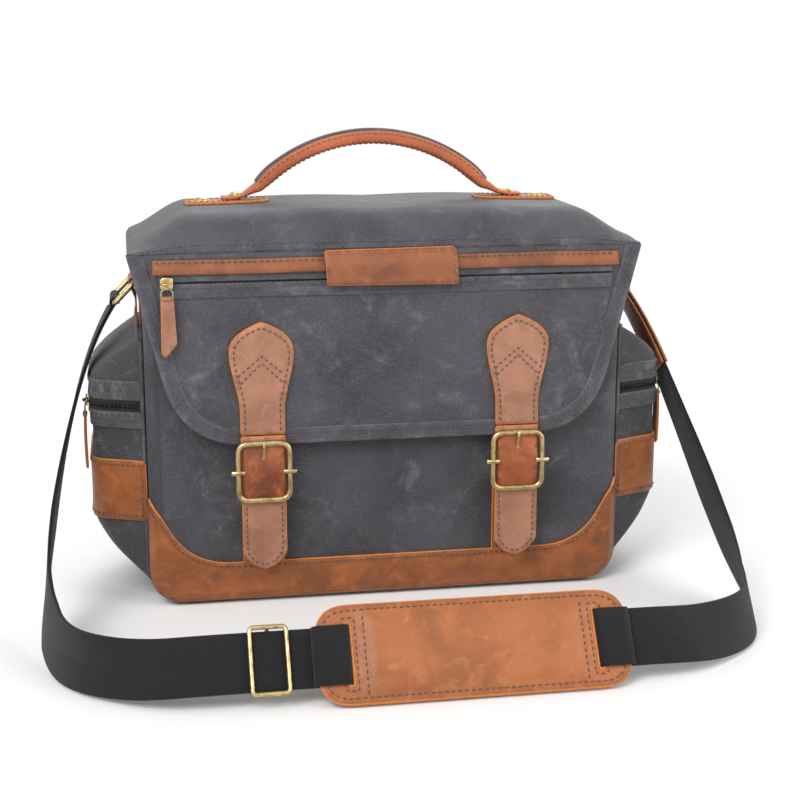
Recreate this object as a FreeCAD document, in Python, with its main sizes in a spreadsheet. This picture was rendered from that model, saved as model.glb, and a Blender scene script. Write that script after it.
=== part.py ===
import FreeCAD, Part
import math
import os
import Sketcher

# A waxed canvas and leather camera bag, in millimetres.
# The front faces -Y, +Z is up, and the origin is on the floor under the middle of the bag.

os.makedirs("parts", exist_ok=True)
doc = FreeCAD.newDocument("CameraBag")
sheet = doc.addObject("Spreadsheet::Sheet", "Sizes")
nodes = []


class Size:
    # A value that carries its spreadsheet formula, so that arithmetic on sizes stays bound to the sheet.
    def __init__(self, formula, value):
        self.formula = formula
        self.value = value

    def __add__(self, other):
        other = asSize(other)
        return Size(f"({self.formula} + {other.formula})", self.value + other.value)

    def __sub__(self, other):
        other = asSize(other)
        return Size(f"({self.formula} - {other.formula})", self.value - other.value)

    def __mul__(self, other):
        other = asSize(other)
        return Size(f"({self.formula} * {other.formula})", self.value * other.value)

    def __truediv__(self, other):
        other = asSize(other)
        return Size(f"({self.formula} / {other.formula})", self.value / other.value)

    def __neg__(self):
        return self * -1

    __radd__ = __add__
    __rmul__ = __mul__


def asSize(number):
    return number if isinstance(number, Size) else Size(f"({number})", float(number))


def size(alias, number):
    row = len(sheet.getUsedCells()) // 2 + 1
    sheet.set(f"A{row}", f"'{alias}")
    sheet.set(f"B{row}", str(number))
    sheet.setAlias(f"B{row}", alias)
    return Size(f"Sizes.{alias}", float(number))


# ---- driving dimensions ----

bagWidth = size("bagWidth", 350)            # case, outside the canvas
bagDepth = size("bagDepth", 140)
wallHeight = size("wallHeight", 256)
wall = size("wall", 4)                      # padded canvas
cornerRadius = size("cornerRadius", 25)     # bottom corners of the front and back
cornerFlat = size("cornerFlat", 10)         # straight foot of a gusset beside its round
boardThickness = size("boardThickness", 3)
liningThickness = size("liningThickness", 1.5)
hemHeight = size("hemHeight", 18)
hemThickness = size("hemThickness", 1.5)
hemRoll = size("hemRoll", 3)                # hem above the wall's cut edge
leather = size("leather", 2.2)              # strips, tabs and bands
gap = size("gap", 0.4)                      # clearance between pieces that slide or swing

trimHeight = size("trimHeight", 32)         # bottom leather at the middle
trimSideHeight = size("trimSideHeight", 84)
trimSweep = size("trimSweep", 29)           # where the edge turns up, in from the side
trimCurve = size("trimCurve", 50)
trimLift = size("trimLift", 4)              # canvas edge that shows under the leather

strapSpacing = size("strapSpacing", 186)    # middle to middle of the two buckle straps
stripWidth = size("stripWidth", 30)
snapHeight = size("snapHeight", 55)
snapRadius = size("snapRadius", 8.5)
snapThickness = size("snapThickness", 2.8)

zipWidth = size("zipWidth", 14)             # tape, across the teeth
tapeThickness = size("tapeThickness", 1.2)
sliderLength = size("sliderLength", 9)
sliderThickness = size("sliderThickness", 2.8)
postRadius = size("postRadius", 1.5)
postLength = size("postLength", 1.8)
pullEye = size("pullEye", 4)                # outside radius of a pull's ring
pullWidth = size("pullWidth", 11)
pullLength = size("pullLength", 52)
pullThickness = size("pullThickness", 1.2)
pivotPlay = size("pivotPlay", 0.08)
frontZipDrop = size("frontZipDrop", 56)      # each drop is measured down from the rim
innerZipDrop = size("innerZipDrop", 33)
innerZipLength = size("innerZipLength", 220)
pocketZipDrop = size("pocketZipDrop", 49)       # below the top of the pocket

pocketBulge = size("pocketBulge", 38)
pocketDrop = size("pocketDrop", 61)
pocketSlope = size("pocketSlope", 28)
pocketHip = size("pocketHip", 62)
pocketFoot = size("pocketFoot", 18)
pocketWidth = size("pocketWidth", 124)      # along the depth, at the gusset
pocketFace = size("pocketFace", 92)         # along the depth, at the bulge
pocketRound = size("pocketRound", 15)
pocketCanvas = size("pocketCanvas", 2.5)
bandFoot = size("bandFoot", 64)
bandHeight = size("bandHeight", 45)
bandThickness = size("bandThickness", 1.8)

insertFoam = size("insertFoam", 8)
insertDrop = size("insertDrop", 67)
insertWidth = size("insertWidth", 308)
insertFront = size("insertFront", 60)       # front face of the insert from the middle of the bag
insertBack = size("insertBack", 52)
cellWidth = size("cellWidth", 92)           # the middle cell

tabWidth = size("tabWidth", 30)
ringDrop = size("ringDrop", 27)              # from the rim to the pivot bar of the strap ring
ringWire = size("ringWire", 2)
ringWidth = size("ringWidth", 48)
ringReach = size("ringReach", 20)           # from the pivot bar to the strap bar
ringLean = size("ringLean", 45)

flapWidth = size("flapWidth", 368)
flapThickness = size("flapThickness", 3.5)
flapGap = size("flapGap", 8)                # room for zip and studs behind the closed flap
flapFoot = size("flapFoot", 123)
flapRise = size("flapRise", 28)             # crest of the closed flap above the rim
flapBack = size("flapBack", 58)             # rear end of the crest
flapFore = size("flapFore", 64)             # front end of the crest
flapRound = size("flapRound", 30)
creaseRise = size("creaseRise", 7)          # fold line above the rim
creaseGap = size("creaseGap", 1)
hingeLift = size("hingeLift", 0.5)
skirtDrop = size("skirtDrop", 9)            # the flap's ends hang this far below the rim
hingeReach = size("hingeReach", 4.5)        # flap hinge behind the back wall
flapTaper = size("flapTaper", 34)           # how far each side slants in on the way down
flapCorner = size("flapCorner", 62)
flapHemWidth = size("flapHemWidth", 11)
flapHemThickness = size("flapHemThickness", 1)

weltDrop = size("weltDrop", 18)             # lower edge of the welt under the fold line
weltHeight = size("weltHeight", 8.5)
weltWidth = size("weltWidth", 334)
weltThickness = size("weltThickness", 3.4)
patchWidth = size("patchWidth", 96)
patchDrop = size("patchDrop", 11.5)         # the patch reaches this far below the welt
patchHeight = size("patchHeight", 26)
patchRoom = size("patchRoom", 7)            # the zip slider passes behind the patch
flapZipLength = size("flapZipLength", 326)

spadeTop = size("spadeTop", 212)
spadeWidth = size("spadeWidth", 46)
spadeWide = size("spadeWide", 189)          # height of the widest point
spadeWaist = size("spadeWaist", 150)
strapWidth = size("strapWidth", 32)
strapThickness = size("strapThickness", 3)
strapHinge = size("strapHinge", 130)
strapTip = size("strapTip", 30)
strapPoint = size("strapPoint", 15)
buckleWidth = size("buckleWidth", 41)
buckleHeight = size("buckleHeight", 46)
buckleBar = size("buckleBar", 4)
buckleMiddle = size("buckleMiddle", 104)
buckleRound = size("buckleRound", 8)
pinRadius = size("pinRadius", 1.5)
pinLength = size("pinLength", 47)
prongEye = size("prongEye", 3.2)
prongWidth = size("prongWidth", 4)
prongThickness = size("prongThickness", 2.2)

handleRadius = size("handleRadius", 120)    # middle of the arch
handleRise = size("handleRise", 53)         # top of the arch above the crest
handleThickness = size("handleThickness", 12)
handleWidth = size("handleWidth", 14)
handleSoft = size("handleSoft", 4)
handleSweep = size("handleSweep", 90.4)
handleOffset = size("handleOffset", 4)      # handle behind the middle of the bag
handleTabLength = size("handleTabLength", 62)
handleTabWidth = size("handleTabWidth", 26)
handleTabInner = size("handleTabInner", 78)
studRadius = size("studRadius", 5)
studHeight = size("studHeight", 3)

webbingWidth = size("webbingWidth", 38)
webbingThickness = size("webbingThickness", 2.2)
runFront = size("runFront", 250)            # front run of the laid strap, from the middle of the bag
runHeight = size("runHeight", 26.5)
runLean = size("runLean", 35)
runHalf = size("runHalf", 135)
padLength = size("padLength", 205)
padWidth = size("padWidth", 65)
padThickness = size("padThickness", 5)
padRound = size("padRound", 22)
padPlace = size("padPlace", 25)
glidePlace = size("glidePlace", 106)        # tri-glide, left of the middle
glideLength = size("glideLength", 26)
glideWire = size("glideWire", 3)
chapeLength = size("chapeLength", 70)       # leather end of the strap at the right ring
doc.recompute()


# ---- helpers: every length and place below is bound to the sheet ----

turnTo = {
    "x": FreeCAD.Rotation(FreeCAD.Vector(0, 1, 0), 90),
    "y": FreeCAD.Rotation(FreeCAD.Vector(1, 0, 0), -90),
    "z": FreeCAD.Rotation(),
}
zero = asSize(0)


def drive(item, name, amount):
    item.setExpression(name, asSize(amount).formula)


def place(item, x=zero, y=zero, z=zero):
    for axis, amount in zip("xyz", (x, y, z)):
        drive(item, f"Placement.Base.{axis}", amount)


def node(item, label):
    item.Label = label
    nodes.append(item)
    return item


def span(middle, width):
    return (middle - width / 2, middle + width / 2)


def outward(side, near, far):
    # limits along X of something that stands off the middle, on the left (-1) or the right (1)
    return (near, far) if side > 0 else (-far, -near)


def box(label, x, y, z):
    block = doc.addObject("Part::Box", label)
    for name, (low, high) in zip(("Length", "Width", "Height"), (x, y, z)):
        drive(block, name, asSize(high) - low)
    place(block, asSize(x[0]), asSize(y[0]), asSize(z[0]))
    return block


def rod(label, radius, along, x, y, z):
    # a cylinder along one axis, whose limits there are given as a pair
    item = doc.addObject("Part::Cylinder", label)
    limits = dict(x=x, y=y, z=z)
    low, high = limits[along]
    limits[along] = low
    drive(item, "Radius", radius)
    drive(item, "Height", asSize(high) - low)
    item.Placement.Rotation = turnTo[along]
    place(item, asSize(limits["x"]), asSize(limits["y"]), asSize(limits["z"]))
    return item


def ball(label, radius, x, y, z):
    item = doc.addObject("Part::Sphere", label)
    drive(item, "Radius", radius)
    place(item, asSize(x), asSize(y), asSize(z))
    return item


def joined(label, pieces):
    item = doc.addObject("Part::MultiFuse", label)
    item.Shapes = pieces
    return item


def carved(label, base, tool):
    item = doc.addObject("Part::Cut", label)
    item.Base = base
    item.Tool = tool
    return item


def overlap(label, pieces):
    item = doc.addObject("Part::MultiCommon", label)
    item.Shapes = pieces
    return item


def originPart(body, role):
    return next(item for item in body.Origin.OriginFeatures if item.Role == role)


def outline(body, label, role, corners):
    # a closed sketch on one of the body's own planes, with each corner measured from its origin
    sketch = body.newObject("Sketcher::SketchObject", label)
    sketch.AttachmentSupport = [(originPart(body, role), "")]
    sketch.MapMode = "FlatFace"
    corners = [(asSize(across), asSize(up)) for across, up in corners]
    points = [FreeCAD.Vector(across.value, up.value, 0) for across, up in corners]
    count = len(points)
    for index in range(count):
        sketch.addGeometry(Part.LineSegment(points[index], points[(index + 1) % count]))
    for index in range(count):
        sketch.addConstraint(Sketcher.Constraint("Coincident", index, 2, (index + 1) % count, 1))
    for index, (across, up) in enumerate(corners):
        for kind, amount in (("DistanceX", across), ("DistanceY", up)):
            limit = Sketcher.Constraint(kind, -1, 1, index, 1, amount.value)
            sketch.setExpression(f"Constraints[{sketch.addConstraint(limit)}]", amount.formula)
    return sketch


def plate(label, role, corners, depth, x=zero, y=zero, z=zero):
    # a padded outline; on XZ_Plane it grows towards -Y, on YZ_Plane towards +X and on XY_Plane up
    body = doc.addObject("PartDesign::Body", label)
    pad = body.newObject("PartDesign::Pad", f"{label}_pad")
    sketch = outline(body, f"{label}_outline", role, corners)
    pad.Profile = sketch
    drive(pad, "Length", depth)
    body.Tip = pad
    place(body, x, y, z)
    doc.recompute()
    return body


def soften(body, radius, picks):
    # rounds the edges of a body whose middle, in the body's own frame, passes the pick
    tip = body.Tip
    edges = [f"Edge{number}" for number, edge in enumerate(tip.Shape.Edges, 1) if picks(edge.CenterOfMass)]
    fillet = body.newObject("PartDesign::Fillet", f"{body.Label}_round")
    fillet.Base = (tip, edges)
    drive(fillet, "Radius", radius)
    body.Tip = fillet
    doc.recompute()
    return body


def cosine(angle):
    return Size(f"cos({angle.formula} * 1 deg)", math.cos(math.radians(angle.value)))


def sine(angle):
    return Size(f"sin({angle.formula} * 1 deg)", math.sin(math.radians(angle.value)))


def near(spot, *places):
    # true where a point lies at one of the places, given as (index of axis, value) pairs
    return any(all(abs(spot[axis] - amount.value) < 0.01 for axis, amount in where) for where in places)


# ---- heights and planes that several pieces share ----

halfWidth = bagWidth / 2
halfDepth = bagDepth / 2
innerHalfWidth = halfWidth - wall
innerHalfDepth = halfDepth - wall
liningHalfWidth = innerHalfWidth - liningThickness
liningHalfDepth = innerHalfDepth - liningThickness
rimHeight = wallHeight + hemRoll
hemFoot = wallHeight - hemHeight
flapCrest = rimHeight + flapRise
creaseHeight = rimHeight + creaseRise
hingeHeight = rimHeight + hingeLift
frontZipHeight = rimHeight - frontZipDrop
innerZipHeight = rimHeight - innerZipDrop
pocketTop = rimHeight - pocketDrop
pocketShoulder = pocketTop - pocketSlope
pocketZipHeight = pocketTop - pocketZipDrop
insertHeight = rimHeight - insertDrop
ringHeight = rimHeight - ringDrop
weltFoot = creaseHeight - weltDrop
patchFoot = weltFoot - patchDrop
flapZipHeight = weltFoot - gap - zipWidth / 2
roundStart = halfWidth - cornerRadius - cornerFlat
innerRound = cornerRadius - wall
liningFoot = wall + boardThickness
flapInside = -halfDepth - flapGap
flapFace = flapInside - flapThickness
strapX = strapSpacing / 2


# ---- the case: canvas walls, board, lining and hem ----

def cornerPair(x, z):
    return ((0, x), (2, z)), ((0, -x), (2, z))


for label, back in (("front_panel", -innerHalfDepth), ("back_panel", halfDepth)):
    corners = [(-halfWidth, zero), (halfWidth, zero), (halfWidth, wallHeight), (-halfWidth, wallHeight)]
    panel = plate(label, "XZ_Plane", corners, wall, y=back)
    soften(panel, cornerRadius, lambda spot: near(spot, *cornerPair(halfWidth, zero)))
    node(panel, label)

for side, name in ((-1, "left"), (1, "right")):
    outer = halfWidth * side
    inner = innerHalfWidth * side
    foot = roundStart * side
    corners = [(foot, zero), (outer, zero), (outer, wallHeight), (inner, wallHeight), (inner, wall), (foot, wall)]
    gusset = plate(f"{name}_gusset", "XZ_Plane", corners, innerHalfDepth * 2, y=innerHalfDepth)
    soften(gusset, cornerRadius, lambda spot: near(spot, ((0, outer), (2, zero))))
    soften(gusset, innerRound, lambda spot: near(spot, ((0, inner), (2, wall))))
    node(gusset, f"{name}_gusset")

acrossDepth = (-innerHalfDepth, innerHalfDepth)
node(box("base_panel_sheet", (-roundStart, roundStart), acrossDepth, (zero, wall)), "base_panel")
boardLimit = roundStart + cornerFlat - gap * 2
node(box("base_board_sheet", (-boardLimit, boardLimit), acrossDepth, (wall, liningFoot)), "base_board")


def trough(label, halfLength, depthHalf, foot, top, bend):
    # a block with its two bottom edges rounded, as the inside of the case is
    corners = [(-halfLength, foot), (halfLength, foot), (halfLength, top), (-halfLength, top)]
    block = plate(label, "XZ_Plane", corners, depthHalf * 2, y=depthHalf)
    return soften(block, bend, lambda spot: near(spot, *cornerPair(halfLength, foot)))


liningOutside = trough("lining_outside", innerHalfWidth, innerHalfDepth, liningFoot, wallHeight, innerRound)
liningInside = trough("lining_inside", liningHalfWidth, liningHalfDepth, liningFoot + liningThickness,
                      wallHeight + hemRoll, innerRound - liningThickness)
node(carved("lining_shell", liningOutside, liningInside), "lining")

hemOutside = box("hem_outside", (-halfWidth - hemThickness, halfWidth + hemThickness),
                 (-halfDepth - hemThickness, halfDepth + hemThickness), (hemFoot, rimHeight))
hemOverWalls = box("hem_over_walls", (-halfWidth, halfWidth), (-halfDepth, halfDepth), (hemFoot, wallHeight))
hemMouth = box("hem_mouth", (-liningHalfWidth, liningHalfWidth), (-liningHalfDepth, liningHalfDepth),
               (hemFoot, rimHeight))
node(carved("hem_band", hemOutside, joined("hem_hollow", [hemOverWalls, hemMouth])), "mouth_hem")


# ---- bottom leather, front strips and snaps ----

for label, back in (("front_leather_trim", -halfDepth), ("back_leather_trim", halfDepth + leather)):
    turn = halfWidth - trimSweep
    corners = [(-halfWidth, trimLift), (halfWidth, trimLift), (halfWidth, trimSideHeight), (turn, trimHeight),
               (-turn, trimHeight), (-halfWidth, trimSideHeight)]
    trim = plate(label, "XZ_Plane", corners, leather, y=back)
    soften(trim, cornerRadius, lambda spot: near(spot, *cornerPair(halfWidth, trimLift)))
    soften(trim, trimCurve, lambda spot: near(spot, *cornerPair(turn, trimHeight)))
    node(trim, label)

stripLayer = (-halfDepth - leather, -halfDepth)
strips = []
snaps = []
for side in (-1, 1):
    middle = strapX * side
    strips.append(box(f"front_strip_{side + 2}", span(middle, stripWidth), stripLayer, (trimHeight, hemFoot)))
    snaps.append(rod(f"snap_{side + 2}", snapRadius, "y", middle, (stripLayer[0] - snapThickness, stripLayer[0]),
                     snapHeight))
node(joined("strip_pair", strips), "front_strips")
node(joined("snap_pair", snaps), "snap_studs")


# ---- zips: a tape, a slider that runs along it and a pull that swings about the slider's post ----

def facing(direction, surface, near, far):
    # limits of a layer that stands off a surface, towards -1 or +1 along the surface's own axis
    if direction > 0:
        return (surface + near, surface + far)
    return (surface - far, surface - near)


def zipHardware(prefix, axis, direction, surface, along, height):
    # axis is the one that the zip faces along; along is the slider's place on the other level axis
    top = tapeThickness + gap / 2
    slideTop = top + sliderThickness
    postTop = slideTop + postLength
    ringTop = slideTop + gap / 2 + pullThickness
    plateLayer = facing(direction, surface, top, slideTop)
    postLayer = facing(direction, surface, slideTop, postTop)
    pullLayer = facing(direction, surface, slideTop + gap / 2, ringTop)
    other = "x" if axis == "y" else "y"

    def limits(layer, middle, width):
        return {axis: layer, other: span(middle, width)}

    plateBlock = box(f"{prefix}_plate", z=span(height, sliderLength), **limits(plateLayer, along, sliderLength))
    post = rod(f"{prefix}_post", postRadius, axis, z=height, **{axis: postLayer, other: along})
    node(joined(f"{prefix}_slider_body", [plateBlock, post]), f"{prefix}_slider")
    ring = rod(f"{prefix}_ring", pullEye, axis, z=height, **{axis: pullLayer, other: along})
    tongue = box(f"{prefix}_tongue", z=(height - pullLength, height - pullEye / 2),
                 **limits(pullLayer, along, pullWidth * 0.5))
    tab = box(f"{prefix}_tab", z=(height - pullLength, height - sliderLength), **limits(pullLayer, along, pullWidth))
    eye = rod(f"{prefix}_eye", postRadius + pivotPlay, axis, z=height, **{axis: pullLayer, other: along})
    blank = joined(f"{prefix}_pull_blank", [ring, tongue, tab])
    node(carved(f"{prefix}_pull_body", blank, eye), f"{prefix}_pull")


frontZipHalf = strapX - stripWidth / 2 - gap * 2
tapeLayer = (-halfDepth - tapeThickness, -halfDepth)
node(box("front_tape", (-frontZipHalf, frontZipHalf), tapeLayer, span(frontZipHeight, zipWidth)), "front_zip_tape")
zipHardware("front_zip", "y", -1, -halfDepth, sliderLength - frontZipHalf, frontZipHeight)

innerTapeLayer = (liningHalfDepth - tapeThickness, liningHalfDepth)
node(box("inner_tape", span(zero, innerZipLength), innerTapeLayer, span(innerZipHeight, zipWidth)), "inner_zip_tape")
zipHardware("inner_zip", "y", -1, liningHalfDepth, sliderLength - innerZipLength / 2, innerZipHeight)


# ---- side pockets: sealed canvas bellows with a leather band and a zip ----

def pocketForm(label, side, grow):
    # the pocket's outside, grown or shrunk by one amount away from the gusset
    root = halfWidth * side
    face = (halfWidth + pocketBulge + grow) * side
    rootHalf = pocketWidth / 2 + grow
    faceHalf = pocketFace / 2 + grow
    plan = plate(f"{label}_plan", "XY_Plane",
                 [(root, -rootHalf), (face, -faceHalf), (face, faceHalf), (root, rootHalf)], wallHeight)
    soften(plan, pocketRound + grow, lambda spot: near(spot, ((0, face), (1, faceHalf)), ((0, face), (1, -faceHalf))))
    corners = [(root, pocketFoot - grow), (face, pocketHip - grow), (face, pocketShoulder + grow),
               (root, pocketTop + grow)]
    sideView = plate(f"{label}_side", "XZ_Plane", corners, rootHalf * 2 + 2, y=rootHalf + 1)
    soften(sideView, pocketRound + grow,
           lambda spot: near(spot, ((0, face), (2, pocketHip - grow)), ((0, face), (2, pocketShoulder + grow))))
    return overlap(label, [plan, sideView])


for side, name in ((-1, "left"), (1, "right")):
    shell = pocketForm(f"{name}_pocket_outside", side, zero)
    hollow = pocketForm(f"{name}_pocket_hollow", side, -pocketCanvas)
    node(carved(f"{name}_pocket_shell", shell, hollow), f"{name}_pocket")

    wrapX = outward(side, halfWidth, halfWidth + pocketBulge * 2)
    wrapY = span(zero, pocketWidth * 1.5)
    for piece, depth, levels in (
        ("pocket_band", bandThickness, (bandFoot, bandFoot + bandHeight)),
        ("pocket_zip_tape", tapeThickness, span(pocketZipHeight, zipWidth)),
    ):
        grown = pocketForm(f"{name}_{piece}_form", side, depth)
        wrap = overlap(f"{name}_{piece}_wrap", [grown, box(f"{name}_{piece}_slab", wrapX, wrapY, levels)])
        inside = pocketForm(f"{name}_{piece}_inside", side, zero)
        node(carved(f"{name}_{piece}_sheet", wrap, inside), f"{name}_{piece}")
    sliderY = pocketRound - pocketFace / 2
    zipHardware(f"{name}_pocket_zip", "x", side, (halfWidth + pocketBulge) * side, sliderY, pocketZipHeight)


# ---- padded insert with two dividers ----

insertFoot = liningFoot + liningThickness + gap
insertHalf = insertWidth / 2
insertX = (-insertHalf, insertHalf)
insertY = (-insertFront, insertBack)
insertZ = (insertFoot, insertFoot + insertHeight)
insertHollow = box("insert_hollow", (insertX[0] + insertFoam, insertX[1] - insertFoam),
                   (insertY[0] + insertFoam, insertY[1] - insertFoam), (insertFoot + insertFoam, insertZ[1]))
node(carved("insert_shell", box("insert_outside", insertX, insertY, insertZ), insertHollow), "insert_tray")

for side, name in ((-1, "left"), (1, "right")):
    dividerX = outward(side, cellWidth / 2, cellWidth / 2 + insertFoam)
    dividerY = (insertY[0] + insertFoam + gap, insertY[1] - insertFoam - gap)
    dividerZ = (insertFoot + insertFoam + gap, insertZ[1] - gap * 5)
    node(box(f"{name}_divider_pad", dividerX, dividerY, dividerZ), f"divider_{name}")


# ---- strap rings in their leather tabs ----

loopRadius = ringWire + pivotPlay + leather
pivotX = halfWidth + loopRadius + gap
barX = pivotX + ringReach * cosine(ringLean)
barHeight = ringHeight - ringReach * sine(ringLean)
rivets = []
for side, name in ((-1, "left"), (1, "right")):
    tabX = outward(side, halfWidth, halfWidth + leather)
    tabY = span(zero, tabWidth)
    strap = box(f"{name}_tab_strap", tabX, tabY, (pocketTop + gap * 2, ringHeight))
    loop = rod(f"{name}_tab_loop", loopRadius, "y", pivotX * side, tabY, ringHeight)
    bridge = box(f"{name}_tab_bridge", outward(side, halfWidth, pivotX), tabY, (ringHeight - leather, ringHeight))
    bore = rod(f"{name}_tab_bore", ringWire + pivotPlay, "y", pivotX * side, tabY, ringHeight)
    node(carved(f"{name}_tab_body", joined(f"{name}_tab_blank", [strap, loop, bridge]), bore), f"{name}_ring_tab")

    sideBar = ringWidth / 2 - ringWire
    wires = []
    for reach, bar in ((zero, "pivot"), (ringReach, "strap")):
        wires.append(rod(f"{name}_ring_{bar}", ringWire, "y", reach, (-sideBar, sideBar), zero))
        for end in (-1, 1):
            wires.append(ball(f"{name}_ring_{bar}_corner_{end + 2}", ringWire, reach, sideBar * end, zero))
    for end in (-1, 1):
        wires.append(rod(f"{name}_ring_arm_{end + 2}", ringWire, "x", (zero, ringReach), sideBar * end, zero))
    ring = joined(f"{name}_ring_wire", wires)
    ring.Placement.Rotation.Axis = FreeCAD.Vector(0, 1, 0)
    drive(ring, "Placement.Rotation.Angle", ringLean if side > 0 else -ringLean + 180)
    place(ring, pivotX * side, zero, ringHeight)
    node(ring, f"{name}_ring")
    rivetX = outward(side, halfWidth + leather, halfWidth + leather + studHeight / 2)
    rivets.append(rod(f"{name}_rivet", studRadius, "x", rivetX, zero, pocketTop + studRadius * 2))
node(joined("rivet_pair", rivets), "tab_rivets")


# ---- flap: a top panel on the back hinge, and a front panel that folds at the crease ----

hingeY = halfDepth + hingeReach
topFoot = hingeHeight + creaseGap
foreFoot = creaseHeight + creaseGap
innerCrest = flapCrest - flapThickness
profile = [(hingeY, topFoot), (flapBack, flapCrest), (-flapFore, flapCrest), (flapFace, foreFoot),
           (flapFace + flapThickness * 1.33, foreFoot), (flapThickness / 2 - flapFore, innerCrest),
           (flapBack - flapThickness / 2, innerCrest), (hingeY - flapThickness * 1.17, topFoot)]
flapTop = plate("flap_top_sheet", "YZ_Plane", profile, flapWidth, x=-flapWidth / 2)
soften(flapTop, flapRound,
       lambda spot: near(spot, ((1, flapBack), (2, flapCrest)), ((1, -flapFore), (2, flapCrest))))
soften(flapTop, flapRound - flapThickness,
       lambda spot: near(spot, ((1, flapBack - flapThickness / 2), (2, innerCrest)),
                         ((1, flapThickness / 2 - flapFore), (2, innerCrest))))
skirtFoot = rimHeight - skirtDrop
skirts = [flapTop]
for side in (-1, 1):
    skirtX = -flapWidth / 2 if side < 0 else flapWidth / 2 - flapThickness
    skirt = plate(f"flap_skirt_{side + 2}", "YZ_Plane",
                  [(hingeY - hingeReach - hemThickness, skirtFoot), (flapBack, flapCrest), (-flapFore, flapCrest),
                   (flapInside, foreFoot), (flapInside + flapThickness, skirtFoot)], flapThickness, x=skirtX)
    skirts.append(soften(skirt, flapRound, lambda spot: near(spot, ((1, flapBack), (2, flapCrest)),
                                                             ((1, -flapFore), (2, flapCrest)))))
node(joined("flap_top_body", skirts), "flap_top_panel")


def flapShape(label, inset, top, depth, y):
    # the front panel's outline, or the same outline drawn in by the hem
    upper = flapWidth / 2 - inset
    lower = upper - flapTaper
    foot = flapFoot + inset
    sheetBody = plate(label, "XZ_Plane", [(-lower, foot), (lower, foot), (upper, top), (-upper, top)], depth, y=y)
    return soften(sheetBody, flapCorner - inset, lambda spot: near(spot, *cornerPair(lower, foot)))


flapTopEdge = creaseHeight - creaseGap
node(flapShape("flap_front_sheet", zero, flapTopEdge, flapThickness, flapInside), "flap_front_panel")
hemBlank = flapShape("flap_hem_blank", zero, flapTopEdge, flapHemThickness, flapFace)
hemWindow = flapShape("flap_hem_window", flapHemWidth, flapTopEdge + flapHemWidth, flapHemThickness, flapFace)
node(carved("flap_hem_band", hemBlank, hemWindow), "flap_hem")

weltLevels = (weltFoot, weltFoot + weltHeight)
weltLayer = (flapFace - weltThickness, flapFace)
node(box("welt_roll", span(zero, weltWidth), weltLayer, weltLevels), "flap_welt")
patchLayer = (flapFace - patchRoom - leather, flapFace)
patchBlank = box("patch_blank", span(zero, patchWidth), patchLayer, (patchFoot, patchFoot + patchHeight))
patchZipRoom = box("patch_zip_room", span(zero, patchWidth), (flapFace - patchRoom, flapFace), (patchFoot, weltFoot))
patchWeltRoom = box("patch_welt_room", span(zero, patchWidth), weltLayer, weltLevels)
node(carved("patch_body", patchBlank, joined("patch_rooms", [patchZipRoom, patchWeltRoom])), "flap_patch")

node(box("flap_tape", span(zero, flapZipLength), (flapFace - tapeThickness, flapFace),
         (flapZipHeight - zipWidth / 2, weltFoot - gap)), "flap_zip_tape")
zipHardware("flap_zip", "y", -1, flapFace, sliderLength / 2 - flapZipLength / 2 + 1, flapZipHeight)


# ---- buckle straps: a spade on the flap, and below it a tail with buckle, prong and snap ----

spadeBack = flapFace - flapHemThickness
tailBack = spadeBack - gap
tailFace = tailBack - strapThickness
pinY = tailFace - prongEye - gap
frameFace = tailFace - buckleBar
spades = []
for side, name in ((-1, "left"), (1, "right")):
    middle = strapX * side
    half = strapWidth / 2
    wide = spadeWidth / 2
    foot = strapHinge + gap
    spadeCorners = [(middle - half, foot), (middle + half, foot), (middle + half, spadeWaist),
                    (middle + wide, spadeWide), (middle + half * 0.7, spadeTop - spadeWidth * 0.2), (middle, spadeTop),
                    (middle - half * 0.7, spadeTop - spadeWidth * 0.2), (middle - wide, spadeWide),
                    (middle - half, spadeWaist)]
    spades.append(plate(f"{name}_spade", "XZ_Plane", spadeCorners, strapThickness, y=spadeBack))

    shoulder = strapTip + strapPoint
    tailCorners = [(middle - half, strapHinge - gap), (middle - half, shoulder), (middle, strapTip),
                   (middle + half, shoulder), (middle + half, strapHinge - gap)]
    tail = plate(f"{name}_tail", "XZ_Plane", tailCorners, strapThickness, y=tailBack)
    snapFace = stripLayer[0] - snapThickness
    cap = rod(f"{name}_snap_cap", snapRadius, "y", middle, (tailBack, snapFace - gap), snapHeight)
    node(joined(f"{name}_tail_body", [tail, cap]), f"strap_tail_{name}")

    windowWidth = buckleWidth - buckleBar * 2
    windowHeight = buckleHeight - buckleBar * 2
    frame = box(f"{name}_buckle_blank", span(middle, buckleWidth), (frameFace, tailFace),
                span(buckleMiddle, buckleHeight))
    window = box(f"{name}_buckle_window", span(middle, windowWidth), (frameFace, tailFace),
                 span(buckleMiddle, windowHeight))
    pin = rod(f"{name}_buckle_pin", pinRadius, "x", span(middle, pinLength), pinY, buckleMiddle)
    node(joined(f"{name}_buckle_body", [carved(f"{name}_buckle_frame", frame, window), pin]), f"buckle_{name}")

    eye = rod(f"{name}_prong_eye", prongEye, "x", span(middle, prongWidth), pinY, buckleMiddle)
    bladeBack = frameFace - gap / 2
    blade = box(f"{name}_prong_blade", span(middle, prongWidth), (bladeBack - prongThickness, bladeBack),
                (buckleMiddle, buckleMiddle + buckleHeight / 2 - gap))
    bore = rod(f"{name}_prong_bore", pinRadius + pivotPlay, "x", span(middle, prongWidth), pinY, buckleMiddle)
    node(carved(f"{name}_prong_body", joined(f"{name}_prong_blank", [eye, blade]), bore), f"prong_{name}")
node(joined("spade_pair", spades), "strap_spades")


# ---- carrying handle on the crest ----

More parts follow.
